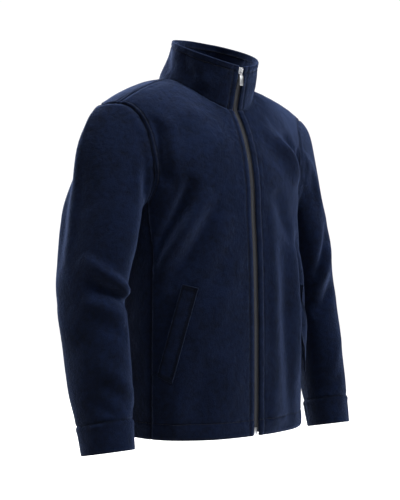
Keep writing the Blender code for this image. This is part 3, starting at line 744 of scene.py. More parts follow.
class NodeTree:
    """A Geometry Nodes tree built in short calls."""

    def __init__(self, name: str) -> None:
        """Makes an empty tree with a Geometry input and output.

        Args:
            name: The tree's name.
        """
        self.tree = bpy.data.node_groups.new(name, "GeometryNodeTree")
        self.tree.interface.new_socket("Geometry", in_out="INPUT",
                                       socket_type="NodeSocketGeometry")
        self.tree.interface.new_socket("Geometry", in_out="OUTPUT",
                                       socket_type="NodeSocketGeometry")
        self.inputs = self.tree.nodes.new("NodeGroupInput")
        self.outputs = self.tree.nodes.new("NodeGroupOutput")
        self.ids: dict[str, str] = {}

    def input(self, name: str, kind: str) -> bpy.types.NodeSocket:
        """Adds an input to the tree.

        Args:
            name: Its name.
            kind: Its socket's type.

        Returns:
            Its socket inside the tree.
        """
        item = self.tree.interface.new_socket(name, in_out="INPUT", socket_type=kind)
        self.ids[name] = item.identifier
        return self.inputs.outputs[name]

    def node(self, kind: str, settings: Optional[dict] = None,
             **values: object) -> bpy.types.Node:
        """Adds a node.

        Args:
            kind: The node's type.
            settings: Its settings, which are set first.
            values: A value or a link for each named socket.

        Returns:
            The node.
        """
        made = self.tree.nodes.new(kind)
        for key, value in (settings or {}).items():
            setattr(made, key, value)
        for key, value in values.items():
            name = key.replace("_", " ")
            socket = next(s for s in made.inputs if s.name == name and s.enabled)
            if isinstance(value, bpy.types.NodeSocket):
                self.tree.links.new(value, socket)
            else:
                socket.default_value = value
        return made

    def finish(self, geometry: bpy.types.NodeSocket,
               material: bpy.types.NodeSocket) -> None:
        """Ends the tree in Realize Instances and Set Material.

        Args:
            geometry: What the tree has made.
            material: Its material.
        """
        real = self.node("GeometryNodeRealizeInstances", Geometry=geometry)
        dressed = self.node("GeometryNodeSetMaterial", Geometry=real.outputs[0],
                            Material=material)
        self.tree.links.new(dressed.outputs[0], self.outputs.inputs[0])

    def apply(self, carrier: bpy.types.Object, name: str,
              values: dict[str, object]) -> bpy.types.Object:
        """Runs the tree on an object.

        Args:
            carrier: The object, which is removed.
            name: Name of the result.
            values: A value for each input.

        Returns:
            The result, as a plain mesh object.
        """
        modifier = carrier.modifiers.new(name, "NODES")
        modifier.node_group = self.tree
        for key, value in values.items():
            modifier[self.ids[key]] = value
        bpy.context.view_layer.update()
        graph = bpy.context.evaluated_depsgraph_get()
        mesh = bpy.data.meshes.new_from_object(carrier.evaluated_get(graph))
        mesh.name = name
        carrier.modifiers.remove(modifier)
        bpy.data.objects.remove(carrier)
        mesh.polygons.foreach_set("use_smooth", [True] * len(mesh.polygons))
        made = bpy.data.objects.new(name, mesh)
        bpy.context.scene.collection.objects.link(made)
        return made


def line_carrier(lines: Sequence[StitchLine]) -> bpy.types.Object:
    """Makes one object with a chain of edges for each line.

    Args:
        lines: The lines.

    Returns:
        The object, with the outward directions on its points.
    """
    points = np.concatenate([line.points for line in lines])
    ways = np.concatenate([line.ways for line in lines])
    edges, start = [], 0
    for line in lines:
        edges += [(start + i, start + i + 1) for i in range(len(line.points) - 1)]
        start += len(line.points)
    mesh = bpy.data.meshes.new("line")
    mesh.from_pydata(points.tolist(), edges, [])
    attribute = mesh.attributes.new("way_out", "FLOAT_VECTOR", "POINT")
    attribute.data.foreach_set("vector", ways.astype(np.float32).ravel())
    made = bpy.data.objects.new("line", mesh)
    bpy.context.scene.collection.objects.link(made)
    return made


def follow_tree(name: str) -> tuple[NodeTree, bpy.types.Node, bpy.types.NodeSocket]:
    """A tree that spaces points along lines and turns them to the line and the cloth.

    Args:
        name: The tree's name.

    Returns:
        The tree, the node with the points as a curve, and the rotation to give a copy:
        its X along the line and its Z out of the cloth.
    """
    tree = NodeTree(name)
    pitch = tree.input("Pitch", "NodeSocketFloat")
    curve = tree.node("GeometryNodeMeshToCurve", Mesh=tree.inputs.outputs["Geometry"])
    spaced_out = tree.node("GeometryNodeResampleCurve", {"mode": "LENGTH"},
                           Curve=curve.outputs[0], Length=pitch)
    tangent = tree.node("GeometryNodeInputTangent")
    first = tree.node("FunctionNodeAlignRotationToVector", {"axis": "X"},
                      Vector=tangent.outputs[0])
    way = tree.node("GeometryNodeInputNamedAttribute", {"data_type": "FLOAT_VECTOR"},
                    Name="way_out")
    second = tree.node("FunctionNodeAlignRotationToVector",
                       {"axis": "Z", "pivot_axis": "X"},
                       Rotation=first.outputs[0], Vector=way.outputs[0])
    return tree, spaced_out, second.outputs[0]


@dataclass
class Stitching:
    """Lockstitch in sewing thread.

    Attributes:
        pitch: From one stitch to the next.
        length: A stitch's own length.
        thread: The thread's width.
    """

    pitch: float = 0.0034
    length: float = 0.0027
    thread: float = 0.00075

    def build(self, name: str, lines: Sequence[StitchLine],
              material: bpy.types.Material) -> bpy.types.Object:
        """Lays a stitch at every pitch along the lines.

        Args:
            name: Name of the piece.
            lines: Where the stitches lie.
            material: The thread's.

        Returns:
            The stitches, as one object.
        """
        tree, curve, rotation = follow_tree("stitches")
        long = tree.input("Stitch Length", "NodeSocketFloat")
        wide = tree.input("Thread", "NodeSocketFloat")
        finish = tree.input("Finish", "NodeSocketMaterial")
        bead = tree.node("GeometryNodeMeshUVSphere", Segments=6, Rings=4, Radius=0.5)
        size = tree.node("ShaderNodeCombineXYZ", X=long, Y=wide, Z=wide)
        shaped = tree.node("GeometryNodeTransform", Geometry=bead.outputs[0],
                           Scale=size.outputs[0])
        copies = tree.node("GeometryNodeInstanceOnPoints", Points=curve.outputs[0],
                           Instance=shaped.outputs[0], Rotation=rotation)
        tree.finish(copies.outputs[0], finish)
        return tree.apply(line_carrier(lines), name, {
            "Pitch": self.pitch, "Stitch Length": self.length, "Thread": self.thread,
            "Finish": material})


# ---- finishes ----
class Wire:
    """A shader socket that sums can be written with."""

    def __init__(self, shader: "Shader", socket: bpy.types.NodeSocket) -> None:
        """Wraps an output socket."""
        self.shader, self.socket = shader, socket

    def _math(self, operation: str, first: object, second: object) -> "Wire":
        """Adds a Math node."""
        return self.shader.node("ShaderNodeMath", {"operation": operation},
                                {0: first, 1: second})

    def __add__(self, other: object) -> "Wire":
        """Self plus other."""
        return self._math("ADD", self, other)

    __radd__ = __add__

    def __sub__(self, other: object) -> "Wire":
        """Self minus other."""
        return self._math("SUBTRACT", self, other)

    def __mul__(self, other: object) -> "Wire":
        """Self times other."""
        return self._math("MULTIPLY", self, other)

    __rmul__ = __mul__

    def clamped(self) -> "Wire":
        """Self kept between 0 and 1."""
        return self._math("MINIMUM", self._math("MAXIMUM", self, 0.0), 1.0)


class Shader:
    """A material on the Principled shader."""

    def __init__(self, name: str) -> None:
        """Makes the material, with its shader and output.

        Args:
            name: The material's name.
        """
        self.material = bpy.data.materials.new(name)
        self.material.use_nodes = True
        self.tree = self.material.node_tree
        self.tree.nodes.clear()
        self.bsdf = self.tree.nodes.new("ShaderNodeBsdfPrincipled")
        output = self.tree.nodes.new("ShaderNodeOutputMaterial")
        self.tree.links.new(self.bsdf.outputs[0], output.inputs[0])

    def node(self, kind: str, settings: Optional[dict] = None,
             sockets: Optional[dict] = None, output: object = 0) -> Wire:
        """Adds a node.

        Args:
            kind: The node's type.
            settings: Its settings.
            sockets: A value or a Wire for each input, by name or number.
            output: The output wanted, by name or number.

        Returns:
            That output.
        """
        made = self.tree.nodes.new(kind)
        for key, value in (settings or {}).items():
            setattr(made, key, value)
        for key, value in (sockets or {}).items():
            self.feed(made.inputs[key], value)
        return Wire(self, made.outputs[output])

    def feed(self, socket: bpy.types.NodeSocket, value: object) -> None:
        """Gives a socket a value or a link."""
        if isinstance(value, Wire):
            self.tree.links.new(value.socket, socket)
        else:
            socket.default_value = value

    def set(self, **values: object) -> None:
        """Feeds the Principled shader's sockets, with _ for a space."""
        for key, value in values.items():
            self.feed(self.bsdf.inputs[key.replace("_", " ")], value)

    def grain(self, size: float, detail: float = 2.0, rough: float = 0.5,
              stretch: Sequence[float] = (1.0, 1.0, 1.0)) -> Wire:
        """Noise from 0 to 1 on the object's own coordinates.

        Args:
            size: Size of its features, in metres.
            detail: Octaves.
            rough: Weight of the finer ones.
            stretch: Scale along each axis.

        Returns:
            The noise.
        """
        place = self.node("ShaderNodeTexCoord", output="Object")
        place = self.node("ShaderNodeMapping", {}, {"Vector": place, "Scale": stretch})
        return self.node("ShaderNodeTexNoise", {}, {
            "Vector": place, "Scale": 1 / size, "Detail": detail, "Roughness": rough})

    def mix(self, factor: object, low: object, high: object) -> Wire:
        """A colour between two.

        Args:
            factor: 0 for low, 1 for high.
            low: A colour.
            high: The other.

        Returns:
            The mixed colour.
        """
        made = self.tree.nodes.new("ShaderNodeMix")
        made.data_type = "RGBA"
        self.feed(made.inputs[0], factor)
        self.feed(made.inputs[6], low)
        self.feed(made.inputs[7], high)
        return Wire(self, made.outputs[2])

    def bump(self, height: Wire, distance: float, strength: float = 1.0) -> None:
        """Feeds the normal from a height."""
        self.set(Normal=self.node("ShaderNodeBump", {}, {
            "Height": height, "Distance": distance, "Strength": strength}))


@dataclass(frozen=True)
class Fleece:
    """Brushed fleece: a short dense pile that catches light at its edges.

    Attributes:
        deep: Colour between the fibres, and the painted shade in seams and stitch grooves.
        face: Colour of the pile's tips.
        sheen: How strongly the pile catches light.
    """

    deep: tuple[float, float, float, float] = (0.0008, 0.0023, 0.0078, 1)
    face: tuple[float, float, float, float] = (0.0042, 0.0102, 0.0360, 1)
    sheen: float = 0.50

    def material(self) -> bpy.types.Material:
        """Builds the material."""
        made = Shader("fleece")
        pile = made.grain(0.0011, 2.0, 0.6)
        clump = made.grain(0.0110, 4.0, 0.72)
        cloud = made.grain(0.060, 3.0, 0.6)
        # The seam attribute pulls the colour towards deep: painted shade in seams, stitch
        # grooves and round the welts.
        seam = made.node("ShaderNodeAttribute", {"attribute_name": "seam"}, output="Fac")
        tone = (pile * 0.8 + clump * 2.2 + cloud * 1.0 - 1.4 - seam * 0.8).clamped()
        made.set(Base_Color=made.mix(tone, self.deep, self.face), Roughness=0.93,
                 Specular_IOR_Level=0.08, Sheen_Weight=self.sheen, Sheen_Roughness=0.40,
                 Sheen_Tint=(0.29, 0.42, 0.86, 1))
        made.bump(pile * 0.45 + clump * 1.0, 0.0020, 0.9)
        return made.material


@dataclass(frozen=True)
class Woven:
    """Zip tape or sewing thread: fine ribs in a plain colour.

    Attributes:
        name: The material's name.
        colour: Its colour.
        rib: From one rib to the next.
        roughness: Its roughness.
        sheen: How strongly its fuzz catches light.
    """

    name: str
    colour: tuple[float, float, float, float]
    rib: float = 0.0008
    roughness: float = 0.7
    sheen: float = 0.15

    def material(self) -> bpy.types.Material:
        """Builds the material."""
        made = Shader(self.name)
        place = made.node("ShaderNodeTexCoord", output="Object")
        rib = made.node("ShaderNodeTexWave", {"bands_direction": "Z"}, {
            "Vector": place, "Scale": 0.314 / self.rib, "Distortion": 0.6,
            "Detail": 1.0, "Detail Scale": 3.0})
        fuzz = made.grain(self.rib * 0.7)
        dark = tuple(c * 0.45 for c in self.colour[:3]) + (1,)
        tone = (rib * 0.5 + fuzz * 0.5).clamped()
        made.set(Base_Color=made.mix(tone, dark, self.colour), Roughness=self.roughness,
                 Specular_IOR_Level=0.25, Sheen_Weight=self.sheen)
        made.bump(rib * 0.6 + fuzz * 0.5, self.rib * 0.35, 0.8)
        return made.material


@dataclass(frozen=True)
class Moulded:
    """Nylon coil teeth: smooth, hard and a little glossy."""

    colour: tuple[float, float, float, float] = (0.060, 0.062, 0.074, 1)

    def material(self) -> bpy.types.Material:
        """Builds the material."""
        made = Shader("coil")
        spots = made.grain(0.004, 2.0)
        dark = tuple(c * 0.6 for c in self.colour[:3]) + (1,)
        made.set(Base_Color=made.mix(spots, dark, self.colour),
                 Roughness=spots * 0.15 + 0.33, Specular_IOR_Level=0.5)
        made.bump(made.grain(0.0006), 0.00005, 0.5)
        return made.material


@dataclass(frozen=True)
class Satin:
    """Plated zinc, satin, with handling marks."""

    colour: tuple[float, float, float, float] = (0.62, 0.63, 0.66, 1)

    def material(self) -> bpy.types.Material:
        """Builds the material."""
        made = Shader("zip_metal")
        marks = made.grain(0.0016, 4.0, 0.6)
        brushed = made.grain(0.0009, 2.0, 0.5, (1.0, 1.0, 0.12))
        dull = tuple(c * 0.72 for c in self.colour[:3]) + (1,)
        made.set(Base_Color=made.mix(marks, dull, self.colour), Metallic=1.0,
                 Roughness=marks * 0.16 + brushed * 0.10 + 0.20)
        made.bump(brushed, 0.00003, 0.5)
        return made.material


@dataclass
class Finishes:
    """Every material of the jacket."""

    fleece: bpy.types.Material
    thread: bpy.types.Material
    tape: bpy.types.Material
    coil: bpy.types.Material
    metal: bpy.types.Material

    @classmethod
    def make(cls) -> "Finishes":
        """Builds them all."""
        return cls(Fleece().material(),
                   Woven("thread", (0.0055, 0.0095, 0.030, 1), 0.0004, 0.6, 0.1).material(),
                   Woven("zip_tape", (0.050, 0.052, 0.062, 1)).material(),
                   Moulded().material(), Satin().material())


def finish_piece(piece: bpy.types.Object, material: bpy.types.Material,
                 body: str, nodes: Sequence[str] = ()) -> None:
    """Dresses a piece, sets it on its body and hides the nodes that it replaces.

    Args:
        piece: The piece.
        material: Its material.
        body: The body that it rides on.
        nodes: The nodes that it replaces.
    """
    piece.data.materials.clear()
    piece.data.materials.append(material)
    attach(piece, body)
    if nodes:
        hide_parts(*nodes)
    LOG.info("%s: %d faces", piece.name, len(piece.data.polygons))


# ---- fronts and back ----
FRONT_CREASES: dict[Side, tuple[Crease, ...]] = {
    Side.RIGHT: (
        Crease(((50, -0.085), (53, -0.140), (57, -0.215)), 0.013, -0.0080, 0.3),
        Crease(((43, -0.085), (46, -0.135), (50, -0.195)), 0.017, 0.0055),
        Crease(((36, -0.195), (46, -0.240), (58, -0.290), (74, -0.350)), 0.014, -0.0130, 0.3),
        Crease(((26, -0.215), (38, -0.268), (52, -0.325), (68, -0.380)), 0.016, 0.0105, 0.2),
        Crease(((20, -0.240), (32, -0.300), (45, -0.352), (60, -0.405)), 0.015, -0.0090, -0.2),
        Crease(((13, -0.260), (24, -0.330), (38, -0.410)), 0.018, 0.0050),
        Crease(((8, -0.330), (18, -0.410), (24, -0.470)), 0.020, 0.0037),
        Crease(((30, -0.520), (34, -0.590), (36, -0.655)), 0.020, -0.0037),
        Crease(((48, -0.600), (50, -0.640), (51, -0.672)), 0.016, 0.0037),
        Crease(((14, -0.520), (13, -0.600), (13, -0.665)), 0.024, 0.0031),
        Crease(((20, -0.060), (34, -0.085), (46, -0.110)), 0.018, 0.0037),
    ),
    Side.LEFT: (
        Crease(((18, -0.115), (30, -0.150), (44, -0.205)), 0.013, 0.0109, 0.3),
        Crease(((26, -0.105), (38, -0.140), (50, -0.180)), 0.015, -0.0094, 0.2),
        Crease(((50, -0.120), (54, -0.160), (58, -0.220)), 0.014, -0.0116, 0.3),
        Crease(((31, -0.270), (33, -0.380), (36, -0.500), (37, -0.600)), 0.015, 0.0087, 0.2),
        Crease(((42, -0.290), (45, -0.400), (47, -0.520)), 0.014, -0.0087),
        Crease(((19, -0.310), (21, -0.450), (25, -0.600), (26, -0.668)), 0.017, -0.0065, 0.2),
        Crease(((52, -0.330), (55, -0.420), (58, -0.560)), 0.015, 0.0072),
        Crease(((9, -0.090), (22, -0.125), (40, -0.165)), 0.016, 0.0058),
        Crease(((10, -0.240), (11, -0.400), (13, -0.610)), 0.014, 0.0061),
        Crease(((14, -0.215), (22, -0.270), (34, -0.330)), 0.016, -0.0065),
        Crease(((8, -0.560), (10, -0.620), (10, -0.668)), 0.022, 0.0035),
    ),
}
BACK_CREASES = (
    Crease(((116, -0.170), (128, -0.225), (144, -0.290), (158, -0.330)), 0.018, -0.0075, 0.3),
    Crease(((110, -0.215), (122, -0.270), (140, -0.345)), 0.018, 0.0060, 0.2),
    Crease(((108, -0.290), (120, -0.350), (136, -0.420)), 0.017, -0.0050),
    Crease(((-116, -0.185), (-132, -0.250), (-150, -0.305)), 0.018, -0.0070, -0.3),
    Crease(((-108, -0.240), (-124, -0.305), (-142, -0.370)), 0.018, 0.0060, -0.2),
    Crease(((-106, -0.330), (-120, -0.400), (-130, -0.450)), 0.018, -0.0045),
    Crease(((150, -0.400), (154, -0.520), (157, -0.668)), 0.020, 0.0050, 0.2),
    Crease(((136, -0.470), (139, -0.570), (141, -0.668)), 0.018, -0.0045),
    Crease(((-146, -0.430), (-150, -0.540), (-154, -0.668)), 0.021, 0.0050),
    Crease(((-164, -0.500), (-168, -0.600), (-169, -0.668)), 0.018, -0.0035),
    Crease(((172, -0.120), (176, -0.200), (180, -0.300)), 0.024, 0.0035),
    Crease(((150, -0.075), (166, -0.090), (180, -0.095), (194, -0.090), (210, -0.075)),
           0.016, -0.0030),
    Crease(((118, -0.090), (126, -0.130), (132, -0.180)), 0.016, 0.0040),
    Crease(((-118, -0.095), (-125, -0.140), (-130, -0.190)), 0.016, 0.0040),
)


@dataclass
class Panels:
    """The two fronts and the back, cut from one form.

    Attributes:
        form: The torso's form.
        wall: One layer of fleece.
        hem_depth: From the hem's edge to its stitches.
        zip_stitch: From a front's edge to its stitches.
        seam_stitch: From a seam to the stitches beside it.
        hem_lift: How far the hem stands above the form's foot.
        lines: The rows of stitches laid so far.
        arms: Each panel's edge at the armhole, pushed and smooth, and its places.
        necks: Each panel's edge at the neck.
        zip_edges: Each front's edge at the zip.
        neck_count: Columns of a panel that end at the neck.
    """

    form: BodyForm
    wall: float = 0.0026
    hem_depth: float = 0.0300
    zip_stitch: float = 0.0095
    seam_stitch: float = 0.0080
    hem_lift: float = 0.0022
    lines: list[StitchLine] = field(default_factory=list)
    arms: dict[tuple[Side, bool], tuple[Array, ...]] = field(default_factory=dict)
    necks: dict[tuple[Side, bool], Array] = field(default_factory=dict)
    zip_edges: dict[Side, Array] = field(default_factory=dict)
    neck_count: int = 0

    def places(self, back: bool) -> tuple[Array, Array, int]:
        """(angle, rise) of the part below the armpits, and of the part above them.

        Args:
            back: Whether it is half of the back, and not a front.

        Returns:
            The two parts, from the middle out and the hem up, and how many columns
            lie under the arm.
        """
        form, scale = self.form, (BODY_DEGREE, 1.0)
        hem = form.hem_z + self.hem_lift - form.armpit_z
        foot = form.foot()
        corner = 360 - foot if back else foot
        under_turns = np.linspace(corner, foot, 17) if back else np.array([foot])
        under = form.armhole(under_turns)
        half = spaced(0.100, 0.018 if not back else 0.0, 0.0, 0.0014, 0.0042) * 0.5
        rest = spaced(0.110, 0.0, 0.016, 0.0014, 0.0042) * 0.5 + 0.5
        u = np.concatenate([half, rest[1:]])
        self.neck_count = len(half)
        middle = 180.0 if back else float(form.centre(np.array(0.0), form.zip_edge))
        start = np.array([middle, 0.0])
        armpit_row = start + (under[0] - start) * u[:, None]
        armpit_row = np.concatenate([armpit_row, under[1:]])
        down = spaced(0.412, 0.036, 0.0, 0.0014, 0.0046)[:, None]
        rise = hem + (armpit_row[None, :, 1] - hem) * down
        seam = form.side_seam(rise[:, -1])
        first = np.full(len(rise), 180.0) if back else form.centre(rise[:, 0], form.zip_edge)
        last = np.full(len(rise), under[0][0]) if back else seam
        angle = first[:, None] + (last - first)[:, None] * u
        if back:
            span = form.seam_angles[1] - under[0][0]
            share = (under[1:, 0] - under[0][0]) / span
            tail = last[:, None] + (seam - last)[:, None] * share
            angle = np.concatenate([angle, tail], axis=1)
        lower = np.stack([angle, rise], axis=-1)

        bottom = lower[-1, :len(u)]
        zip_turn = math.degrees(math.asin(form.zip_edge / form.neck_half_width))
        turns = np.linspace(180 if back else zip_turn, 90, 61)
        neck = along(form.neckline(turns, back), half * 2, scale)
        seam_row = form.shoulder_seam(rest * 2 - 1, back)
        top = np.concatenate([neck[:-1], seam_row])
        ends = (corner, 360.0) if back else (foot, 100 * (90 - form.seam_arch_at_arm) / 65)
        arm = np.concatenate([bottom[-1:], form.armhole(np.linspace(*ends, 300))[1:],
                              top[-1:]])
        v = spaced(0.290, 0.0, 0.014, 0.0014, 0.0042)
        left = along(np.stack([bottom[0], top[0]]), v, scale)
        right = along(arm, v, scale)
        uu, vv = u[None, :, None], v[:, None, None]
        sides = (1 - uu) * left[:, None] + uu * right[:, None]
        rows = (1 - vv) * bottom[None] + vv * top[None]
        low = (1 - uu) * bottom[0] + uu * bottom[-1]
        high = (1 - uu) * top[0] + uu * top[-1]
        upper = sides + rows - ((1 - vv) * low + vv * high)
        if not back:
            upper[:, 0, 0] = form.centre(upper[:, 0, 1], form.zip_edge)
        return lower, upper, len(under_turns) - 1

    def heights(self, grid: Array, places: Array, creases: Sequence[Crease],
                sign: float, runs: dict[str, Array], seed: float) -> tuple[Array, Array]:
        """How far the cloth stands off its form, and how deep it lies in seams.

        Args:
            grid: The points on the form, on the piece's own side.
            places: Their (angle, rise).
            creases: The creases to press in.
            sign: Turns a place's angle into the one that the creases are read at.
            runs: Length of cloth to each edge, by its name.
            seed: Sets the small unevenness.

        Returns:
            Heights, and seam values.
        """
        turn = places[..., 0] * sign
        fade = np.ones(turn.shape)
        for name in ("side", "arm", "shoulder", "neck"):
            if name in runs:
                reach = 0.012 if name == "arm" else 0.022
                fade = fade * (0.25 + 0.75 * ease(runs[name] / reach))
        if "zip" in runs:
            fade = fade * ease(runs["zip"] / 0.034)
        height = creased(creases, turn, grid[..., 2], BODY_DEGREE) * fade
        height = height + ripple(grid, 0.055, seed) * 0.0010 * fade
        height = height + ripple(grid, 0.018, seed + 9) * 0.0003
        deep = np.zeros(turn.shape)
        wave = ripple(grid, 0.011, seed + 3)

        def stitched(run: Array, at: float, band: float) -> None:
            """Presses in a row of stitches, and lifts the cloth between it and the edge.

            Args:
                run: Length of cloth to the edge.
                at: From the edge to the stitches.
                band: How far the doubled cloth beside the edge stands out.
            """
            nonlocal height, deep
            groove = bell(run - at, 0.0016)
            height = height - groove * 0.0008
            # The groove goes into the seam values as painted shade.
            deep = np.maximum(deep, groove * 0.75)
            height = height + band * ease((at - run) / 0.003) * ease(run / 0.0025)
            near = bell(run - at, 0.007)
            height = height + wave * 0.00055 * near

        def sewn(run: Array) -> None:
            """Rolls the cloth into the seam at an edge.

            Args:
                run: Length of cloth to the edge.
            """
            nonlocal height, deep
            valley = bell(run, 0.0022, 1.4)
            height = height - valley * 0.0013
            # The seam's valley goes into the seam values as painted shade.
            deep = np.maximum(deep, valley)
            height = height + 0.0006 * bell(run - 0.006, 0.004)
            height = height + wave * 0.0004 * bell(run, 0.012)

        if "hem" in runs:
            stitched(runs["hem"], self.hem_depth - self.hem_lift, 0.0010)
        if "zip" in runs:
            stitched(runs["zip"], self.zip_stitch, 0.0009)
        for name in ("side", "shoulder", "neck", "arm"):
            if name in runs:
                sewn(runs[name])
        if "arm" in runs:
            stitched(runs["arm"], self.seam_stitch, 0.0007)
        if "shoulder_stitch" in runs:
            stitched(runs["shoulder_stitch"], 0.0070, 0.0004)
        return height, np.clip(deep, 0, 1)

    def half(self, side: Side, back: bool, creases: Sequence[Crease],
             seed: float) -> tuple[Cloth, tuple[int, ...], tuple[Array, ...]]:
        """One front, or one half of the back, on its own side.

        Args:
            side: The wearer's side.
            back: Whether it is half of the back, and not a front.
            creases: The creases to press in.
            seed: Sets the small unevenness.

        Returns:
            The surface with its folds pressed in, the sizes of its two grids, and the
            smooth form's points and places along the armhole.
        """
        lower, upper, _ = self.places(back)
        form, flip = self.form, np.array([side.value, 1.0, 1.0])
        low, high = (form.place(part[..., 0], part[..., 1]) * flip for part in (lower, upper))
        columns, top_columns = low.shape[1], high.shape[1]
        down_low = run_from(low, 0, False)
        down_high = run_from(high, 0, True)
        far = 1.0
        runs_low = {"hem": down_low, "side": run_from(low, 1, True)}
        runs_high = {"arm": run_from(high, 1, True)}
        neck = np.full(high.shape[:2], far)
        neck[:, :self.neck_count] = down_high[:, :self.neck_count]
        edge = high[-1, self.neck_count - 1]
        reach = np.linalg.norm(high - edge, axis=-1)
        neck[:, self.neck_count:] = reach[:, self.neck_count:]
        shoulder = np.full(high.shape[:2], far)
        shoulder[:, self.neck_count:] = down_high[:, self.neck_count:]
        shoulder[:, :self.neck_count] = reach[:, :self.neck_count]
        runs_high["neck"], runs_high["shoulder"] = neck, shoulder
        if back:
            runs_high["shoulder_stitch"] = shoulder
        else:
            runs_low["zip"], runs_high["zip"] = (run_from(g, 1, False) for g in (low, high))
        under_run = np.linalg.norm(low[:, :, None] - low[-1][None, None, top_columns - 1:],
                                   axis=-1).min(axis=2)
        runs_low["arm"] = under_run
        foot_run = np.linalg.norm(high - high[0, -1], axis=-1)
        runs_high["side"] = foot_run if not back else np.full(high.shape[:2], far)
        if back:
            runs_high["arm"] = np.minimum(runs_high["arm"], foot_run)
        else:
            runs_low["arm"] = np.linalg.norm(low - low[-1, -1], axis=-1)
        pushed = []
        for grid, part, runs in ((low, lower, runs_low), (high, upper, runs_high)):
            sign = float(side.value) if back else 1.0
            pushed.append(self.heights(grid, part, creases, sign, runs, seed))
        pushed[0][0][-1, :top_columns] = pushed[1][0][0]
        count = low.shape[0] * columns
        turned = (side is Side.RIGHT) != back
        cloth = Cloth.from_grid(low, self.wall, flip=turned)
        index = np.arange(count, count + (high.shape[0] - 1) * top_columns)
        index = index.reshape(-1, top_columns)
        seam_row = (low.shape[0] - 1) * columns + np.arange(top_columns)
        index = np.concatenate([seam_row[None], index])
        cells = Cloth.grid_cells(index)
        if turned:
            cells = cells[:, ::-1]
        points = np.concatenate([cloth.points, high[1:].reshape(-1, 3)])
        heights = np.concatenate([pushed[0][0].ravel(), pushed[1][0][1:].ravel()])
        # Seam values: painted shade in the seams and stitch grooves.
        seams = np.concatenate([pushed[0][1].ravel(), pushed[1][1][1:].ravel()])
        hem = np.concatenate([down_low.ravel(), np.full(high[1:].size // 3, far)])
        thick = self.wall + 0.0026 * ease((self.hem_depth + 0.001 - hem) / 0.002)
        if not back:
            zips = np.concatenate([runs_low["zip"].ravel(), runs_high["zip"][1:].ravel()])
            thick = np.maximum(thick, self.wall + 0.0022 * ease((0.016 - zips) / 0.002))
        cloth = Cloth(points, np.concatenate([cloth.cells, cells]), thick, seams)
        cloth.push(heights)
        sizes = (low.shape[0], columns, high.shape[0], top_columns)
        arm = slice(top_columns - 1, None)
        return cloth, sizes, (high[:, -1], low[-1, arm], upper[:, -1], lower[-1, arm])

    @staticmethod
    def split(values: Array, sizes: tuple[int, ...]) -> tuple[Array, Array]:
        """A panel's point values as its two grids.

        Args:
            values: One value or row a point.
            sizes: Rows and columns below the armpits, then above them.

        Returns:
            The two grids, which share a row.
        """
        rows, columns, top_rows, top_columns = sizes
        shape = values.shape[1:]
        low = values[:rows * columns].reshape(rows, columns, *shape)
        rest = values[rows * columns:].reshape(top_rows - 1, top_columns, *shape)
        return low, np.concatenate([low[-1:, :top_columns], rest])

    def keep_edges(self, cloth: Cloth, sizes: tuple[int, ...],
                   smooth: tuple[Array, ...], side: Side, back: bool) -> None:
        """Notes the edges that other pieces join, and lays the stitch lines.

        Args:
            cloth: The panel with its folds.
            sizes: Rows and columns below the armpits, then above them.
            smooth: The smooth form's points and places along the armhole.
            side: The wearer's side.
            back: Whether it is half of the back.
        """
        low, high = self.split(cloth.points, sizes)
        low_way, high_way = self.split(cloth.normals(), sizes)
        self.necks[side, back] = high[-1, :self.neck_count]
        self.arms[side, back] = (high[:, -1], low[-1, sizes[3] - 1:], *smooth)
        hem = line_at(low, low_way, run_from(low, 0, False),
                      self.hem_depth - self.hem_lift, 0)
        self.lines.append(StitchLine(*hem))
        arm = line_at(high, high_way, run_from(high, 1, True), self.seam_stitch, 1)
        self.lines.append(StitchLine(arm[0][3:-3], arm[1][3:-3]))
        if back:
            shoulder = line_at(high, high_way, run_from(high, 0, True), 0.0070, 0)
            cut = slice(self.neck_count + 3, -3)
            self.lines.append(StitchLine(shoulder[0][cut], shoulder[1][cut]))
            return
        both, ways = low, low_way
        if low.shape[1] == high.shape[1]:
            both = np.concatenate([low, high[1:]])
            ways = np.concatenate([low_way, high_way[1:]])
        edge = line_at(both, ways, run_from(both, 1, False), self.zip_stitch, 1)
        self.lines.append(StitchLine(edge[0][2:-2], edge[1][2:-2]))
        self.zip_edges[side] = both[:, 0]

    def build(self, finishes: Finishes) -> None:
        """Makes the three pieces.

        Args:
            finishes: The finishes.
        """
        for side, seed in ((Side.RIGHT, 2.0), (Side.LEFT, 5.0)):
            cloth, sizes, smooth = self.half(side, False, FRONT_CREASES[side], seed)
            self.keep_edges(cloth, sizes, smooth, side, False)
            piece = mesh_object("front_" + side.word + "_cloth", *cloth.close())
            finish_piece(piece, finishes.fleece, "jacket",
                         ["front_" + side.word])
        halves = []
        for side in (Side.LEFT, Side.RIGHT):
            cloth, sizes, smooth = self.half(side, True, BACK_CREASES, 7.0)
            self.keep_edges(cloth, sizes, smooth, side, True)
            halves.append((cloth, sizes))
        points, cells, thick, seam, ways, start = [], [], [], [], [], 0
        for cloth, sizes in halves:
            ways.append(cloth.ways)
            points.append(cloth.points)
            cells.append(cloth.cells + start)
            thick.append(cloth.thickness)
            seam.append(cloth.seam)
            start += len(cloth.points)
        points, cells = np.concatenate(points), np.concatenate(cells)
        thick, seam = np.concatenate(thick), np.concatenate(seam)
        _, first, inverse = np.unique(np.round(points / 2e-4).astype(np.int64), axis=0,
                                      return_index=True, return_inverse=True)
        middle = np.abs(points[:, 0]) < 1.5e-3
        remap = np.arange(len(points))
        remap[middle] = first[inverse.reshape(-1)][middle]
        cells = remap[cells]
        used, cells = np.unique(cells, return_inverse=True)
        ways = np.concatenate(ways)
        ways[middle, 0] = 0.0
        whole = Cloth(points[used], cells.reshape(-1, 4), thick[used], seam[used],
                      unit(ways)[used])
        piece = mesh_object("back_cloth", *whole.close())
        finish_piece(piece, finishes.fleece, "jacket", ["back"])


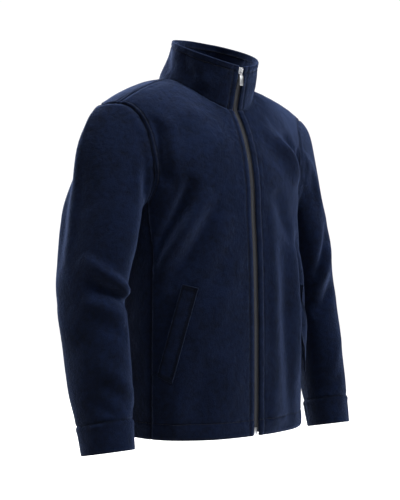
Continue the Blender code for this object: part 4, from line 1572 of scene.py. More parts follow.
# ---- sleeves and cuffs ----
SLEEVE_CREASES: dict[Side, tuple[Crease, ...]] = {
    Side.RIGHT: (
        Crease(((96, -0.120), (104, -0.170), (112, -0.235)), 0.014, -0.0060, 0.2),
        Crease(((76, -0.120), (84, -0.180), (92, -0.250)), 0.016, 0.0045),
        Crease(((-26, -0.105), (-20, -0.190), (-20, -0.280), (-24, -0.370)), 0.012, 0.0042,
               0.3),
        Crease(((-48, -0.120), (-42, -0.210), (-42, -0.300), (-46, -0.380)), 0.017, -0.0045),
        Crease(((5, -0.340), (42, -0.368), (93, -0.398), (122, -0.412)), 0.013, 0.0095, 0.3),
        Crease(((20, -0.385), (60, -0.404), (100, -0.421), (134, -0.428)), 0.011, -0.0100),
        Crease(((11, -0.418), (61, -0.438), (98, -0.452)), 0.014, 0.0065, 0.2),
        Crease(((30, -0.452), (66, -0.470), (96, -0.484)), 0.016, -0.0045),
        Crease(((19, -0.525), (70, -0.560), (112, -0.588)), 0.016, 0.0042),
        Crease(((28, -0.558), (70, -0.590), (100, -0.606)), 0.014, -0.0035),
        Crease(((150, -0.380), (180, -0.395), (210, -0.400)), 0.014, 0.0050),
        Crease(((-60, -0.430), (-30, -0.470), (0, -0.490)), 0.022, 0.0035),
        Crease(((100, -0.575), (124, -0.600), (150, -0.612)), 0.013, 0.0035),
        Crease(((-100, -0.140), (-92, -0.220), (-88, -0.300)), 0.018, -0.0045),
        Crease(((0, -0.590), (40, -0.612), (70, -0.622)), 0.012, -0.0028),
        Crease(((180, -0.520), (215, -0.560), (240, -0.600)), 0.018, 0.0035),
    ),
    Side.LEFT: (
        Crease(((80, -0.090), (94, -0.130), (106, -0.190)), 0.014, -0.0065, 0.2),
        Crease(((64, -0.125), (84, -0.165), (108, -0.210)), 0.014, 0.0065, 0.2),
        Crease(((60, -0.140), (61, -0.200), (60, -0.260)), 0.014, 0.0050),
        Crease(((46, -0.270), (62, -0.308), (82, -0.345), (108, -0.392)), 0.013, -0.0090),
        Crease(((54, -0.312), (76, -0.356), (98, -0.402), (120, -0.432)), 0.014, 0.0085, 0.3),
        Crease(((58, -0.385), (80, -0.420), (104, -0.448), (126, -0.465)), 0.014, -0.0060),
        Crease(((-30, -0.170), (-26, -0.260), (-22, -0.350)), 0.020, -0.0055),
        Crease(((-100, -0.150), (-94, -0.230), (-90, -0.310)), 0.018, -0.0045),
        Crease(((48, -0.500), (78, -0.545), (104, -0.580)), 0.017, 0.0035),
        Crease(((140, -0.400), (180, -0.420), (212, -0.425)), 0.014, 0.0050),
        Crease(((-50, -0.450), (-20, -0.485), (10, -0.500)), 0.020, 0.0035),
        Crease(((70, -0.590), (100, -0.606), (140, -0.614)), 0.012, -0.0030),
        Crease(((176, -0.540), (208, -0.575), (236, -0.606)), 0.016, 0.0035),
    ),
}


@dataclass
class Sleeve:
    """A set-in sleeve with its cuff band.

    Attributes:
        side: The wearer's side.
        form: The tube's form.
        body: The torso's form, which its head leaves.
        wall: One layer of fleece.
        cuff_wall: The doubled cuff band.
        cuff_ring: Number of the ring at which the cuff starts.
        seam_turn: Degrees round of the seam under the arm.
    """

    side: Side
    form: SleeveForm
    body: BodyForm
    wall: float = 0.0026
    cuff_wall: float = 0.0048
    cuff_ring: float = 7.0
    seam_turn: float = 186.0

    def loop(self, panels: Panels) -> tuple[Array, Array, Array, Array]:
        """The armhole, on the side of +X.

        Args:
            panels: The fronts and back, which hold its edge.

        Returns:
            Its smooth points, how far the sewn ones lie from them, the ways out of
            them, and their turns.
        """
        flip = np.array([self.side.value, 1.0, 1.0])
        front, back = panels.arms[self.side, False], panels.arms[self.side, True]
        sewn, points, places = (
            np.concatenate([front[k][::-1][:-1], back[k + 1][::-1], back[k][1:-1]])
            for k in (0, 2, 4))
        sewn, points = sewn * flip, points * flip
        middle = (points.max(axis=0) + points.min(axis=0)) / 2
        half = (points.max(axis=0) - points.min(axis=0)) / 2
        off = (points - middle) / half
        turns = np.degrees(np.arctan2(-off[:, 1], off[:, 2])) % 360
        down = np.maximum(0.0, -np.cos(np.radians(turns)))[:, None]
        sign = np.where(np.arange(len(places)) < len(front[0]), 1.0, -1.0)
        angle, rise = places[:, 0], places[:, 1]
        across = self.body.place(angle + sign, rise) - self.body.place(angle - sign, rise)
        over = unit(across) * 0.45 + np.array([0.55, 0.0, -0.15])
        ways = unit(over * (1 - down) + np.array([0.75, 0.0, -0.65]) * down)
        return points, sewn - points, ways, turns

    def grid(self, panels: Panels) -> tuple[Array, Array, int]:
        """The sleeve's grid, from the armhole to the cuff.

        Args:
            panels: The fronts and back, which hold the armhole's edge.

        Returns:
            The rows, the turns of the columns, and how many rows are the cap.
        """
        points, shifts, ways, turns = self.loop(panels)
        head = spaced(0.075, 0.014, 0.0, 0.0013, 0.0042)
        start_axis = self.form.axis(np.array(0.0))
        end = self.form.place(turns, 0.0)
        reach = np.linalg.norm(end - points, axis=1)[None, :, None]
        v = head[:-1, None, None]
        cap = points[None] + (end - points)[None] * ease(v)
        cap = cap + ways[None] * reach * v * (1 - v) ** 2
        cap = cap + start_axis * reach * v * v * (v - 1)
        cap = cap + shifts[None] * bell(v * reach, 0.009)
        ats = np.interp(spaced(0.372, 0.0, 0.012, 0.0014, 0.0042), [0, 1],
                        [0.0, self.cuff_ring])
        arm = self.form.place(turns[None, :], ats[:, None])
        grid = np.concatenate([cap, arm])
        grid[..., 0] *= self.side.value
        return grid, turns, len(cap)

    def build(self, panels: Panels, finishes: Finishes) -> None:
        """Makes the sleeve and its cuff.

        Args:
            panels: The fronts and back, which hold the armhole's edge.
            finishes: The finishes.
        """
        grid, turns, _ = self.grid(panels)
        seed = 11.0 if self.side is Side.RIGHT else 17.0
        turn = np.broadcast_to(turns, grid.shape[:2])
        from_arm = run_from(grid, 0, False)
        from_cuff = run_from(grid, 0, True)
        fade = ease(from_arm / 0.030) * (0.2 + 0.8 * ease(from_cuff / 0.020))
        height = creased(SLEEVE_CREASES[self.side], turn, grid[..., 2],
                         math.radians(1) * 0.060) * fade
        height = height + ripple(grid, 0.050, seed) * 0.0011 * fade
        wave = ripple(grid, 0.011, seed + 4)
        valley = bell(from_arm, 0.0020, 1.4)
        height = height - valley * 0.0006 + 0.0012 * bell(from_arm - 0.010, 0.007)
        height = height + wave * 0.0006 * bell(from_arm, 0.018)
        valley_cuff = bell(from_cuff, 0.0028, 1.4)
        height = height - valley_cuff * 0.0018 + wave * 0.0007 * bell(from_cuff, 0.012)
        under = np.abs((turn - self.seam_turn + 180) % 360 - 180) * math.radians(1) * 0.052
        valley_under = bell(under, 0.0030, 1.6) * ease(from_arm / 0.006)
        height = height - valley_under * 0.0016
        # Seam values, which darken the fleece as painted shade in the armhole, cuff and
        # underarm seams.
        seam = np.maximum(np.maximum(valley, valley_cuff), valley_under * 0.9)
        cloth = Cloth.from_grid(grid, self.wall, True, self.side is Side.RIGHT)
        cloth.seam = seam.ravel()
        cloth.push(height)
        piece = mesh_object("sleeve_" + self.side.word + "_cloth", *cloth.close(0.4))
        finish_piece(piece, finishes.fleece, "jacket",
                     ["sleeve_" + self.side.word])
        self.build_cuff(finishes, seed)

    def build_cuff(self, finishes: Finishes, seed: float) -> None:
        """Makes the cuff band.

        Args:
            finishes: The finishes.
            seed: Sets the small unevenness.
        """
        even = np.linspace(0, 360, 121)[:-1]
        shares = spaced(0.0535, 0.012, 0.010, 0.0012, 0.0034)
        ats = self.cuff_ring - 0.01 + shares * (8 - self.cuff_ring - 0.035)
        grid = self.form.place(even[None, :], ats[:, None], 0.0012)
        grid[..., 0] *= self.side.value
        top = run_from(grid, 0, False)
        wave = ripple(grid, 0.012, seed + 6)
        valley = bell(top, 0.0026, 1.4)
        height = -valley * 0.0024 + 0.0008 * bell(top - 0.006, 0.005)
        height = height + wave * 0.0005 * bell(top, 0.014)
        height = height + ripple(grid, 0.030, seed + 8) * 0.0009
        join = np.abs((even - self.seam_turn + 180) % 360 - 180) * math.radians(1) * 0.045
        join = bell(join, 0.0026, 1.5)[None, :] * np.ones(grid.shape[:2])
        cloth = Cloth.from_grid(grid, self.cuff_wall, True, self.side is Side.RIGHT)
        # Seam values: painted shade in the seam at the top of the band and at its join.
        cloth.seam = np.clip(valley + join * 0.8, 0, 1).ravel()
        cloth.push(height - join * 0.0014)
        piece = mesh_object("cuff_" + self.side.word + "_band", *cloth.close())
        finish_piece(piece, finishes.fleece, "jacket",
                     ["cuff_" + self.side.word])


# ---- collar ----
@dataclass
class Collar:
    """A stand collar of two layers.

    Attributes:
        body: The torso's form.
        wall: Both layers together.
        rim_y: The rim's middle, from front to back.
        rim_half: Half the rim's width, and half of it from front to back.
        rim_front_z: Height of the rim at the zip.
        rim_rise: How much higher it is at the back.
        stitch: From the rim to its stitches.
        lines: The rows of stitches laid so far.
        front_edges: Its edges at the zip, the right one first.
        creases: Its creases.
    """

    body: BodyForm
    wall: float = 0.0044
    rim_y: float = -0.020
    rim_half: tuple[float, float] = (0.087, 0.081)
    rim_front_z: float = 0.0150
    rim_rise: float = 0.0710
    stitch: float = 0.0100
    lines: list[StitchLine] = field(default_factory=list)
    front_edges: tuple[Array, ...] = ()
    creases: tuple[Crease, ...] = (
        Crease(((-34, -0.030), (-48, -0.010), (-62, 0.030)), 0.012, 0.0040, 0.2),
        Crease(((-58, -0.015), (-70, 0.010), (-82, 0.045)), 0.012, -0.0045),
        Crease(((-96, 0.010), (-112, 0.030), (-126, 0.060)), 0.012, -0.0050),
        Crease(((30, -0.030), (44, -0.008), (60, 0.030)), 0.012, 0.0035),
        Crease(((70, 0.000), (84, 0.020), (96, 0.045)), 0.013, -0.0040),
        Crease(((120, 0.020), (150, 0.035), (180, 0.038), (210, 0.034)), 0.014, -0.0030),
    )

    def rim(self, turn: Array) -> Array:
        """The points of the rim.

        Args:
            turn: Degrees round from centre front.

        Returns:
            The points, on the side of +X.
        """
        angle = np.radians(turn)
        rise = np.maximum((1 - np.cos(angle)) / 2, 0) ** 0.8
        return np.stack([np.maximum(self.rim_half[0] * np.sin(angle), 0.0),
                         self.rim_y - self.rim_half[1] * np.cos(angle),
                         self.rim_front_z + self.rim_rise * rise], axis=-1)

    def half(self, panels: Panels, side: Side) -> tuple[Array, Array]:
        """Half of the collar, from the neckline to the rim.

        Args:
            panels: The fronts and back, which hold the neck's edge.
            side: The wearer's side.

        Returns:
            The rows, and each column's turn round the neck.
        """
        flip = np.array([side.value, 1.0, 1.0])
        front, back = panels.necks[side, False] * flip, panels.necks[side, True] * flip
        base = np.concatenate([front[:-1], (front[-1:] + back[-1:]) / 2, back[-2::-1]])
        body = self.body
        turn = np.degrees(np.arctan2(np.abs(base[:, 0]) / body.neck_half_width,
                                     (body.neck_y - base[:, 1]) / body.neck_half_depth))
        rim = self.rim(turn)
        rim[0, 0] = body.zip_edge
        v = spaced(0.075, 0.008, 0.014, 0.0013, 0.0036)[:, None, None]
        hollow = 0.004 * np.sin(math.pi * v) * np.sin(np.radians(turn))[None, :, None]
        grid = base[None] + (rim - base)[None] * v - hollow * np.array([1.0, 0.0, 0.0])
        grid[0, :, 2] -= 0.0013
        grid[:, 0, 0] = body.zip_edge
        return grid * flip, turn * side.value

    def build(self, panels: Panels, finishes: Finishes) -> None:
        """Makes the collar.

        Args:
            panels: The fronts and back, which hold the neck's edge.
            finishes: The finishes.
        """
        right, right_turn = self.half(panels, Side.RIGHT)
        left, left_turn = self.half(panels, Side.LEFT)
        grid = np.concatenate([right, left[:, -2::-1]], axis=1)
        turn = np.concatenate([right_turn, left_turn[-2::-1]])
        turn = np.broadcast_to(turn, grid.shape[:2])
        top, low = run_from(grid, 0, True), run_from(grid, 0, False)
        edge = np.minimum(run_from(grid, 1, False), run_from(grid, 1, True))
        fade = ease(edge / 0.03) * ease(low / 0.012)
        height = creased(self.creases, turn, grid[..., 2], math.radians(1) * 0.088) * fade
        height = height + ripple(grid, 0.040, 21.0) * 0.0012 * fade
        wave = ripple(grid, 0.010, 23.0)
        valley = bell(low, 0.0028, 1.4)
        stitched = bell(top - self.stitch, 0.0018) * ease(edge / 0.004)
        by_zip = bell(edge - panels.zip_stitch, 0.0018) * ease(low / 0.004)
        height = height - valley * 0.0011 - (stitched + by_zip) * 0.0012
        height = height + wave * 0.0006 * bell(top - self.stitch, 0.008)
        cloth = Cloth.from_grid(grid, self.wall, flip=True)
        # Seam values: painted shade in the neck seam and under the stitches.
        cloth.seam = np.clip(valley + 0.75 * stitched + 0.75 * by_zip, 0, 1).ravel()
        cloth.push(height)
        points, ways = (a.reshape(grid.shape) for a in (cloth.points, cloth.normals()))
        run = run_from(points, 0, True)
        for outward in (1.0, -1.0):
            line = line_at(points, ways, run, self.stitch, 0)
            shift = 0.0 if outward > 0 else self.wall
            self.lines.append(StitchLine(line[0][3:-3] - line[1][3:-3] * shift,
                                         line[1][3:-3] * outward))
        for from_end in (False, True):
            line = line_at(points, ways, run_from(points, 1, from_end), panels.zip_stitch, 1)
            self.lines.append(StitchLine(line[0][2:-8], line[1][2:-8]))
        piece = mesh_object("collar_band", *cloth.close())
        finish_piece(piece, finishes.fleece, "jacket", ["collar"])
        self.front_edges = (points[:, 0], points[:, -1])


# ---- pocket welts ----
@dataclass
class Welt:
    """A slanted welt over a pocket's mouth, sewn down at both ends.

    Attributes:
        side: The wearer's side.
        body: The torso's form.
        top: (angle, z) of its upper end at the mouth, then at the seam.
        bottom: The same of its lower end.
        wall: Its thickness, of doubled cloth.
        lift: How far its face stands off the form.
        lines: The rows of stitches laid so far.
    """

    side: Side
    body: BodyForm
    top: tuple[float, float, float, float] = (46.0, -0.3930, 36.5, -0.3990)
    bottom: tuple[float, float, float, float] = (63.5, -0.5560, 53.5, -0.5680)
    wall: float = 0.0034
    lift: float = 0.0036
    lines: list[StitchLine] = field(default_factory=list)

    def build(self, finishes: Finishes) -> None:
        """Makes the welt.

        Args:
            finishes: The finishes.
        """
        down = spaced(0.175, 0.006, 0.006, 0.0014, 0.0040)[:, None]
        across = spaced(0.0265, 0.006, 0.006, 0.0012, 0.0030)[None, :]
        low, high = np.array(self.bottom), np.array(self.top)
        mouth = low[None, :2] + (high - low)[None, :2] * down
        sewn = low[None, 2:] + (high - low)[None, 2:] * down
        place = sewn[:, None] + (mouth - sewn)[:, None] * across[..., None]
        angle, rise = place[..., 0], place[..., 1] - self.body.armpit_z
        base = self.body.place(angle, rise)
        normal = self.body.normal(angle, rise)
        creases = FRONT_CREASES[self.side]
        off = creased(creases, angle, base[..., 2], BODY_DEGREE)
        grid = base + normal * (off + self.lift)[..., None]
        grid[..., 0] *= self.side.value
        to_mouth, to_seam = run_from(grid, 1, True), run_from(grid, 1, False)
        ends = np.minimum(run_from(grid, 0, False), run_from(grid, 0, True))
        height = -0.0012 * bell(to_seam, 0.0020)
        height = height + 0.0010 * bell(to_mouth, 0.008) * ease(ends / 0.03)
        groove = bell(ends - 0.0050, 0.0016)
        edge = bell(to_seam - 0.0035, 0.0014)
        height = height - 0.0007 * groove - 0.0005 * edge + ripple(grid, 0.02, 31.0) * 0.0005
        height = height - 0.0012 * bell(ends, 0.0030)
        cloth = Cloth.from_grid(grid, self.wall, flip=self.side is Side.LEFT)
        rim = np.minimum(np.minimum(to_seam, to_mouth), ends)
        # Seam values: painted shade in the stitch grooves, and a painted shadow all round the
        # welt's edges.
        cloth.seam = np.clip(groove * 0.8 + edge * 0.7
                             + 1.3 * bell(rim, 0.0026), 0, 1).ravel()
        cloth.push(height)
        points, ways = (a.reshape(grid.shape) for a in (cloth.points, cloth.normals()))
        for from_end in (False, True):
            run = run_from(points, 0, from_end)
            self.lines.append(StitchLine(*line_at(points, ways, run, 0.0050, 0)))
        run = run_from(points, 1, False)
        self.lines.append(StitchLine(*line_at(points, ways, run, 0.0035, 1)))
        piece = mesh_object("pocket_welt_" + self.side.word + "_band", *cloth.close())
        finish_piece(piece, finishes.fleece, "jacket",
                     ["pocket_welt_" + self.side.word])


# ---- zip ----
def swept(path: Array, radius: float, sides: int = 8,
          closed: bool = False) -> tuple[list, list]:
    """A round wire along a path that lies in a plane.

    Args:
        path: The wire's middle line, one point a row.
        radius: The wire's radius.
        sides: Faces round it.
        closed: Whether its last point joins its first.

    Returns:
        Points and faces.
    """
    path = np.asarray(path, float)
    count = len(path)
    ahead, behind = np.roll(path, -1, axis=0), np.roll(path, 1, axis=0)
    if not closed:
        ahead[-1], behind[0] = path[-1], path[0]
    tangent = unit(ahead - behind)
    spread = np.ptp(path, axis=0)
    axis = np.eye(3)[int(np.argmin(spread))]
    cross = unit(np.cross(tangent, axis))
    points, faces = [], []
    for i in range(count):
        for k in range(sides):
            a = 2 * math.pi * k / sides
            points.append(path[i] + radius * (cross[i] * math.cos(a) + axis * math.sin(a)))
    for i in range(count if closed else count - 1):
        j = (i + 1) % count
        for k in range(sides):
            m = (k + 1) % sides
            faces.append((i * sides + k, i * sides + m, j * sides + m, j * sides + k))
    if not closed:
        faces.append(tuple(reversed(range(sides))))
        faces.append(tuple((count - 1) * sides + k for k in range(sides)))
    return [tuple(p) for p in points], faces


def plate(outline: Sequence[tuple[float, float]], thickness: float,
          middle: float) -> tuple[list, list]:
    """A flat plate.

    Args:
        outline: (x, z) points, anticlockwise seen from -Y.
        thickness: Its thickness.
        middle: y of its middle.

    Returns:
        Points and faces.
    """
    count = len(outline)
    points = [(x, middle - thickness / 2, z) for x, z in outline]
    points += [(x, middle + thickness / 2, z) for x, z in outline]
    faces = [tuple(range(count)), tuple(reversed(range(count, 2 * count)))]
    for i in range(count):
        j = (i + 1) % count
        faces.append((j, i, i + count, j + count))
    return points, faces


def joined(parts: Sequence[tuple[list, list]], bevel: float) -> bpy.types.Mesh:
    """Several shapes as one mesh with its sharp edges eased.

    Args:
        parts: Points and faces of each.
        bevel: Width of the eased edges.

    Returns:
        The mesh.
    """
    draft = bmesh.new()
    for points, faces in parts:
        made = [draft.verts.new(p) for p in points]
        for face in faces:
            draft.faces.new([made[i] for i in face])
    bmesh.ops.recalc_face_normals(draft, faces=draft.faces)
    sharp = [e for e in draft.edges if e.calc_face_angle(0.0) > math.radians(50)]
    bmesh.ops.bevel(draft, geom=sharp, offset=bevel, segments=2, affect="EDGES",
                    profile=0.5)
    mesh = bpy.data.meshes.new("zip_piece")
    draft.to_mesh(mesh)
    draft.free()
    return mesh


def rounded(half_width: float, low: float, high: float,
            radius: float) -> list[tuple[float, float]]:
    """A rounded rectangle's outline.

    Args:
        half_width: Half its width.
        low: Its lowest z.
        high: Its highest z.
        radius: Its corners' radius.

    Returns:
        (x, z) points, anticlockwise from its lower right.
    """
    corners = ((half_width, low, -90), (half_width, high, 0), (-half_width, high, 90),
               (-half_width, low, 180))
    out = []
    for x, z, start in corners:
        centre = (x - math.copysign(radius, x), z + (radius if z == low else -radius))
        for k in range(5):
            a = math.radians(start + 90 * k / 4)
            out.append((centre[0] + radius * math.cos(a), centre[1] + radius * math.sin(a)))
    return out


def metal_piece(name: str, meshes: Sequence[bpy.types.Mesh],
                place: Matrix) -> bpy.types.Object:
    """Puts several meshes in the scene as one object.

    Args:
        name: Its name.
        meshes: The meshes, round the piece's own middle.
        place: Where the middle comes.

    Returns:
        The object.
    """
    draft = bmesh.new()
    for mesh in meshes:
        draft.from_mesh(mesh)
    bmesh.ops.transform(draft, matrix=place, verts=draft.verts)
    draft.to_mesh(meshes[0])
    draft.free()
    meshes[0].shade_smooth()
    piece = bpy.data.objects.new(name, meshes[0])
    bpy.context.scene.collection.objects.link(piece)
    return piece


@dataclass
class Zip:
    """The open-ended zip: tapes, coil, slider, pull and bottom box.

    Attributes:
        body: The torso's form.
        tape_inner: From the middle to a tape's inner edge, behind the coil.
        tape_outer: From the middle to its outer edge, under the front.
        tape_depth: How far the tapes lie behind the jacket's face.
        coil_depth: How far the coil's front lies behind it.
        coil_pitch: From one tooth to the next on a side.
        tooth_length: Across the coil.
        tooth_width: Along it.
        cord: Radius of the cord beside the teeth.
        slider_place: The slider's middle.
        slider_tilt: Its lean with the collar, in radians.
    """

    body: BodyForm
    tape_inner: float = 0.0002
    tape_outer: float = 0.0170
    tape_depth: float = 0.0052
    coil_depth: float = 0.0036
    coil_pitch: float = 0.00150
    tooth_length: float = 0.0036
    tooth_width: float = 0.00080
    cord: float = 0.00062
    slider_place: tuple[float, float, float] = (0.0, -0.096156, 0.008665)
    slider_tilt: float = 0.2258

    def centre_line(self, panels: Panels, collar: Collar) -> Array:
        """The line of the jacket's face at centre front.

        Args:
            panels: The fronts.
            collar: The collar.

        Returns:
            (y, z) rows from the hem to the rim.
        """
        right = np.concatenate([panels.zip_edges[Side.RIGHT], collar.front_edges[0][1:]])
        left = np.concatenate([panels.zip_edges[Side.LEFT], collar.front_edges[1][1:]])
        line = (right[:, 1:] + left[:, 1:]) / 2
        run = np.concatenate([[0], np.cumsum(np.linalg.norm(np.diff(line, axis=0), axis=1))])
        even = np.linspace(0, run[-1], 180)
        line = np.stack([np.interp(even, run, line[:, k]) for k in (0, 1)], axis=1)
        for _ in range(6):
            line[1:-1] = (line[:-2] + 2 * line[1:-1] + line[2:]) / 4
        return line

    @staticmethod
    def inset(line: Array, depth: float) -> tuple[Array, Array]:
        """Moves the line into the jacket.

        Args:
            line: (y, z) of the jacket's face.
            depth: How far to move it.

        Returns:
            The moved line, and the outward direction along it.
        """
        step = np.gradient(line, axis=0)
        way = unit(np.stack([-step[:, 1], step[:, 0]], axis=1))
        return line - way * depth, way

    def strip(self, line: Array, x_low: float, x_high: float, depth: float,
              wall: float, columns: int) -> tuple[Array, list]:
        """A flat strip along the zip.

        Args:
            line: (y, z) of the jacket's face.
            x_low: One edge.
            x_high: The other.
            depth: How far it lies behind the face.
            wall: Its thickness.
            columns: Points across it.

        Returns:
            Points and faces.
        """
        outer = self.inset(line, depth)[0]
        xs = np.linspace(x_low, x_high, columns)
        grid = np.stack([np.broadcast_to(xs, (len(line), columns)),
                         np.repeat(outer[:, :1], columns, 1),
                         np.repeat(outer[:, 1:], columns, 1)], axis=-1)
        cloth = Cloth.from_grid(grid, wall)
        return cloth.close(1.0, 3)[:2]

    def build(self, panels: Panels, collar: Collar, finishes: Finishes) -> None:
        """Makes every piece of the zip.

        Args:
            panels: The fronts, whose edges the tapes follow.
            collar: The collar, whose edges they follow above the neck.
            finishes: The finishes.
        """
        line = self.centre_line(panels, collar)
        tape_line = line[(line[:, 1] > self.body.hem_z + 0.003) & (line[:, 1] < line[-1, 1])]
        body_line = tape_line[tape_line[:, 1] > self.body.hem_z + 0.014]
        for side in Side:
            low, high = sorted((side.value * self.tape_inner, side.value * self.tape_outer))
            points, faces = self.strip(tape_line, low, high, self.tape_depth, 0.0008, 9)
            piece = mesh_object("zip_tape_" + side.word + "_cloth", points, faces)
            finish_piece(piece, finishes.tape, "jacket",
                         ["zip_tape_" + side.word])
        self.build_coil(body_line, finishes)
        self.build_slider(finishes)
        self.build_box(finishes)
        self.build_pull(finishes)

    def build_coil(self, line: Array, finishes: Finishes) -> None:
        """The teeth of both sides, with the cord that they are sewn round.

        Args:
            line: (y, z) of the jacket's face at centre front.
            finishes: The finishes.
        """
        slider_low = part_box("zip_slider")[0].z
        line = line[line[:, 1] < slider_low + 0.006]
        centre, way = self.inset(line, self.coil_depth + 0.0010)
        points = np.stack([np.zeros(len(line)), centre[:, 0], centre[:, 1]], axis=1)
        ways = np.stack([np.zeros(len(line)), way[:, 0], way[:, 1]], axis=1)
        tree, curve, rotation = follow_tree("coil_teeth")
        tooth = tree.input("Tooth Length", "NodeSocketFloat")
        width = tree.input("Tooth Width", "NodeSocketFloat")
        offset = tree.input("Offset", "NodeSocketFloat")
        finish = tree.input("Finish", "NodeSocketMaterial")
        bead = tree.node("GeometryNodeMeshCylinder", Vertices=6, Radius=0.5, Depth=1.0)
        size = tree.node("ShaderNodeCombineXYZ", X=width, Y=width, Z=tooth)
        across = tree.node("ShaderNodeCombineXYZ", X=math.pi / 2, Y=0.0, Z=0.0)
        shift = tree.node("ShaderNodeCombineXYZ", X=0.0, Y=offset, Z=0.0)
        shaped = tree.node("GeometryNodeTransform", Geometry=bead.outputs[0],
                           Scale=size.outputs[0])
        laid = tree.node("GeometryNodeTransform", Geometry=shaped.outputs[0],
                         Rotation=across.outputs[0], Translation=shift.outputs[0])
        copies = tree.node("GeometryNodeInstanceOnPoints", Points=curve.outputs[0],
                           Instance=laid.outputs[0], Rotation=rotation)
        tree.finish(copies.outputs[0], finish)
        parts = []
        for side in Side:
            shifted = points.copy()
            start = 0.0 if side is Side.RIGHT else self.coil_pitch / 2
            shifted[:, 2] += start
            parts.append(tree.apply(line_carrier([StitchLine(shifted, ways)]),
                                    "zip_coil_" + side.word, {
                "Pitch": self.coil_pitch, "Tooth Length": self.tooth_length,
                "Tooth Width": self.tooth_width, "Offset": side.value * 0.0012,
                "Finish": finishes.coil}))
        for piece, nodes in zip(parts, (["zip_chain"], [])):
            finish_piece(piece, finishes.coil, "jacket", nodes)
        for side in Side:
            cord_line = np.stack([np.full(len(line), side.value * 0.0030),
                                  centre[:, 0] - 0.0001, centre[:, 1]], axis=1)
            shape = swept(cord_line[::2], self.cord, 6)
            piece = mesh_object("zip_cord_" + side.word, np.array(shape[0]), shape[1])
            finish_piece(piece, finishes.tape, "jacket")

    def build_slider(self, finishes: Finishes) -> None:
        """Makes the slider's body with its bail.

        Args:
            finishes: The finishes.
        """
        outline = [(-0.0036, -0.0065), (0.0036, -0.0065), (0.0046, -0.0045),
                   (0.0052, 0.0010), (0.0052, 0.0052), (0.0038, 0.0065),
                   (0.0012, 0.0065), (0.0, 0.0052), (-0.0012, 0.0065),
                   (-0.0038, 0.0065), (-0.0052, 0.0052), (-0.0052, 0.0010),
                   (-0.0046, -0.0045)]
        parts = [plate(outline, 0.0016, 0.0), plate(outline, 0.0014, 0.0058)]
        for x in (-0.0048, 0.0048):
            edge = [(x - 0.0004, -0.0040), (x + 0.0004, -0.0040), (x + 0.0004, 0.0050),
                    (x - 0.0004, 0.0050)]
            parts.append(plate(edge, 0.0012, 0.0011))
        parts.append(plate([(-0.0017, 0.0026), (0.0017, 0.0026), (0.0015, 0.0060),
                            (-0.0015, 0.0060)], 0.0058, 0.0029))
        turns = np.linspace(0.0, math.pi, 17)
        arch = np.stack([np.zeros(17), -0.0008 - 0.0042 * np.sin(turns) ** 0.8,
                         0.0043 * np.cos(turns)], axis=1)
        arch = np.concatenate([[[0, 0.0, 0.0043]], arch, [[0, 0.0, -0.0043]]])
        wire = swept(arch, 0.00068, 8)
        wire = ([(x * 1.45, y, z) for x, y, z in wire[0]], wire[1])
        tilt = Euler((self.slider_tilt, 0, 0)).to_matrix().to_4x4()
        piece = metal_piece("zip_slider_body", [joined(parts, 0.00028), joined([wire], 0.0)],
                            Matrix.Translation(self.slider_place) @ tilt)
        finish_piece(piece, finishes.metal, "jacket", ["zip_slider"])

    def build_box(self, finishes: Finishes) -> None:
        """Makes the box and pin at the bottom.

        Args:
            finishes: The finishes.
        """
        low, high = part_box("zip_box")
        middle = (low + high) / 2
        size = high - low
        outline = rounded(size.x / 2, -size.z / 2, size.z / 2, 0.0012)
        slit = rounded(0.0007, -size.z * 0.30, size.z * 0.42, 0.0004)
        mesh = joined([plate(outline, size.y * 0.8, 0.0),
                       plate(slit, 0.0004, -size.y * 0.42)], 0.0003)
        piece = metal_piece("zip_bottom_box", [mesh], Matrix.Translation(middle))
        finish_piece(piece, finishes.metal, "jacket", ["zip_box"])

    def build_pull(self, finishes: Finishes) -> None:
        """Makes the pull: an eye round the bail, and a tab with a sunk face.

        Args:
            finishes: The finishes.
        """
        joint = next(j for j in frame["joints"] if j["name"] == "pull_swing")
        thick = 0.0014
        eye = []
        for a in np.linspace(0, 2 * math.pi, 25)[:-1]:
            c, s = math.cos(a), math.sin(a)
            eye.append((0.0023 * math.copysign(abs(c) ** 0.7, c), 0.0,
                        -0.0031 + 0.0031 * math.copysign(abs(s) ** 0.7, s)))
        ring = swept(np.array(eye), 0.00070, 8, closed=True)
        tab = plate(rounded(0.0041, -0.0260, -0.0068, 0.0009), thick, 0.0)
        neck = plate(rounded(0.0026, -0.0074, -0.0052, 0.0005), thick, 0.0)
        rim = []
        for z in (-0.0079, -0.0249):
            rim.append(plate(rounded(0.0036, z - 0.0004, z + 0.0004, 0.0002), 0.0004,
                             -thick / 2 - 0.0001))
        for x in (-0.0032, 0.0032):
            strip = [(x - 0.0004, -0.0252), (x + 0.0004, -0.0252), (x + 0.0004, -0.0076),
                     (x - 0.0004, -0.0076)]
            rim.append(plate(strip, 0.0004, -thick / 2 - 0.0001))
        meshes = [joined([tab, neck, *rim], 0.00022), joined([ring], 0.0)]
        piece = metal_piece("zip_pull_tab", meshes,
                            Matrix.Translation(Vector(joint["pos_m"])))
        finish_piece(piece, finishes.metal, "pull", ["zip_pull"])


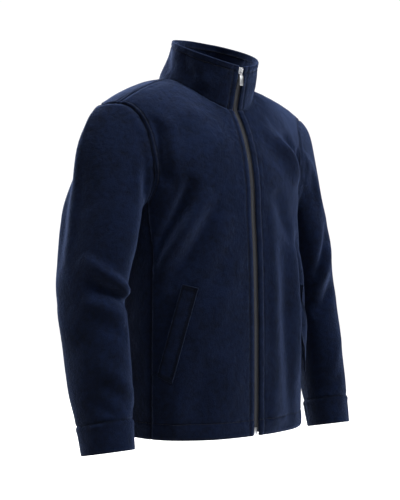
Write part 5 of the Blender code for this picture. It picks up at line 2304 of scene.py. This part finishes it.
# ---- room, light and camera ----
@dataclass
class Studio:
    """A plain white studio.

    Attributes:
        floor_z: Height of the floor.
        yaw: Degrees from the front to the camera, toward the wearer's right.
        distance: From the camera to the jacket's middle.
        eye_z: The camera's height.
        aside: How far it stands to its own left.
        focal: Its lens, in millimetres.
    """

    floor_z: float = -1.02
    yaw: float = 38.0
    distance: float = 2.2
    eye_z: float = -0.3294
    aside: float = 0.0176
    focal: float = 81.02

    def floor(self) -> None:
        """A wide pale floor that the jacket hangs above."""
        half = 14.0
        points = [(-half, -half, self.floor_z), (half, -half, self.floor_z),
                  (half, half, self.floor_z), (-half, half, self.floor_z)]
        piece = mesh_object("floor", np.array(points), [(0, 1, 2, 3)])
        made = Shader("floor")
        made.set(Base_Color=(0.90, 0.90, 0.90, 1), Roughness=0.9, Specular_IOR_Level=0.0,
                 Emission_Color=(1, 1, 1, 1), Emission_Strength=1.0)
        piece.data.materials.append(made.material)
        piece.visible_diffuse = False

    def light(self, name: str, place: Sequence[float], aim: Sequence[float],
              size: float, power: float) -> None:
        """Adds a soft square light.

        Args:
            name: Its name.
            place: Where it stands.
            aim: Where it points.
            size: Its side.
            power: In watts.
        """
        data = bpy.data.lights.new(name, "AREA")
        data.shape, data.size, data.energy = "SQUARE", size, power
        lamp = bpy.data.objects.new(name, data)
        lamp.location = place
        lamp.rotation_euler = (Vector(aim) - Vector(place)).to_track_quat("-Z", "Y").to_euler()
        bpy.context.scene.collection.objects.link(lamp)

    @staticmethod
    def surround() -> None:
        """A white surround that is bright behind the jacket and lights it gently."""
        world = bpy.data.worlds.new("studio")
        world.use_nodes = True
        tree = world.node_tree
        path = tree.nodes.new("ShaderNodeLightPath")
        level = tree.nodes.new("ShaderNodeMapRange")
        level.inputs["To Min"].default_value = 0.050
        level.inputs["To Max"].default_value = 1.05
        tree.links.new(path.outputs["Is Camera Ray"], level.inputs["Value"])
        tree.nodes["Background"].inputs[0].default_value = (1, 1, 1, 1)
        tree.links.new(level.outputs[0], tree.nodes["Background"].inputs[1])
        bpy.context.scene.world = world

    def build(self) -> None:
        """Makes the room, its light and the camera."""
        self.floor()
        self.surround()
        self.light("key", (1.2, -2.1, 1.8), (0, 0, -0.25), 0.7, 96)
        self.light("fill", (-1.9, -2.2, 0.8), (0, 0, -0.35), 1.0, 15)
        self.light("top", (-0.5, 0.3, 2.0), (0, 0, -0.2), 1.2, 46)
        self.light("back", (0.6, 2.4, 0.9), (0, 0, -0.3), 1.6, 44)
        bpy.context.scene.view_settings.view_transform = "Standard"
        yaw = math.radians(self.yaw)
        right = Vector((math.cos(yaw), -math.sin(yaw), 0.0))
        ahead = Vector((math.sin(yaw), math.cos(yaw), 0.0))
        data = bpy.data.cameras.new("camera")
        data.lens, data.sensor_width = self.focal, 36.0
        data.sensor_fit = "AUTO"
        camera = bpy.data.objects.new("camera", data)
        camera.location = -self.distance * ahead - self.aside * right
        camera.location.z = self.eye_z
        camera.rotation_euler = ahead.to_track_quat("-Z", "Y").to_euler()
        bpy.context.scene.collection.objects.link(camera)
        bpy.context.scene.camera = camera


def main() -> None:
    """Builds the jacket and its studio."""
    logging.basicConfig(level=logging.INFO, format="%(message)s")
    finishes = Finishes.make()
    body = BodyForm()
    panels = Panels(body)
    panels.build(finishes)
    lines = panels.lines
    for side in Side:
        sleeve = Sleeve(side, SleeveForm(), body)
        sleeve.build(panels, finishes)
        welt = Welt(side, body)
        welt.build(finishes)
        lines += welt.lines
    collar = Collar(body)
    collar.build(panels, finishes)
    lines += collar.lines
    Zip(body).build(panels, collar, finishes)
    sewn = Stitching().build("stitches", lines, finishes.thread)
    finish_piece(sewn, finishes.thread, "jacket")
    Studio().build()


if __name__ == "__main__":
    main()
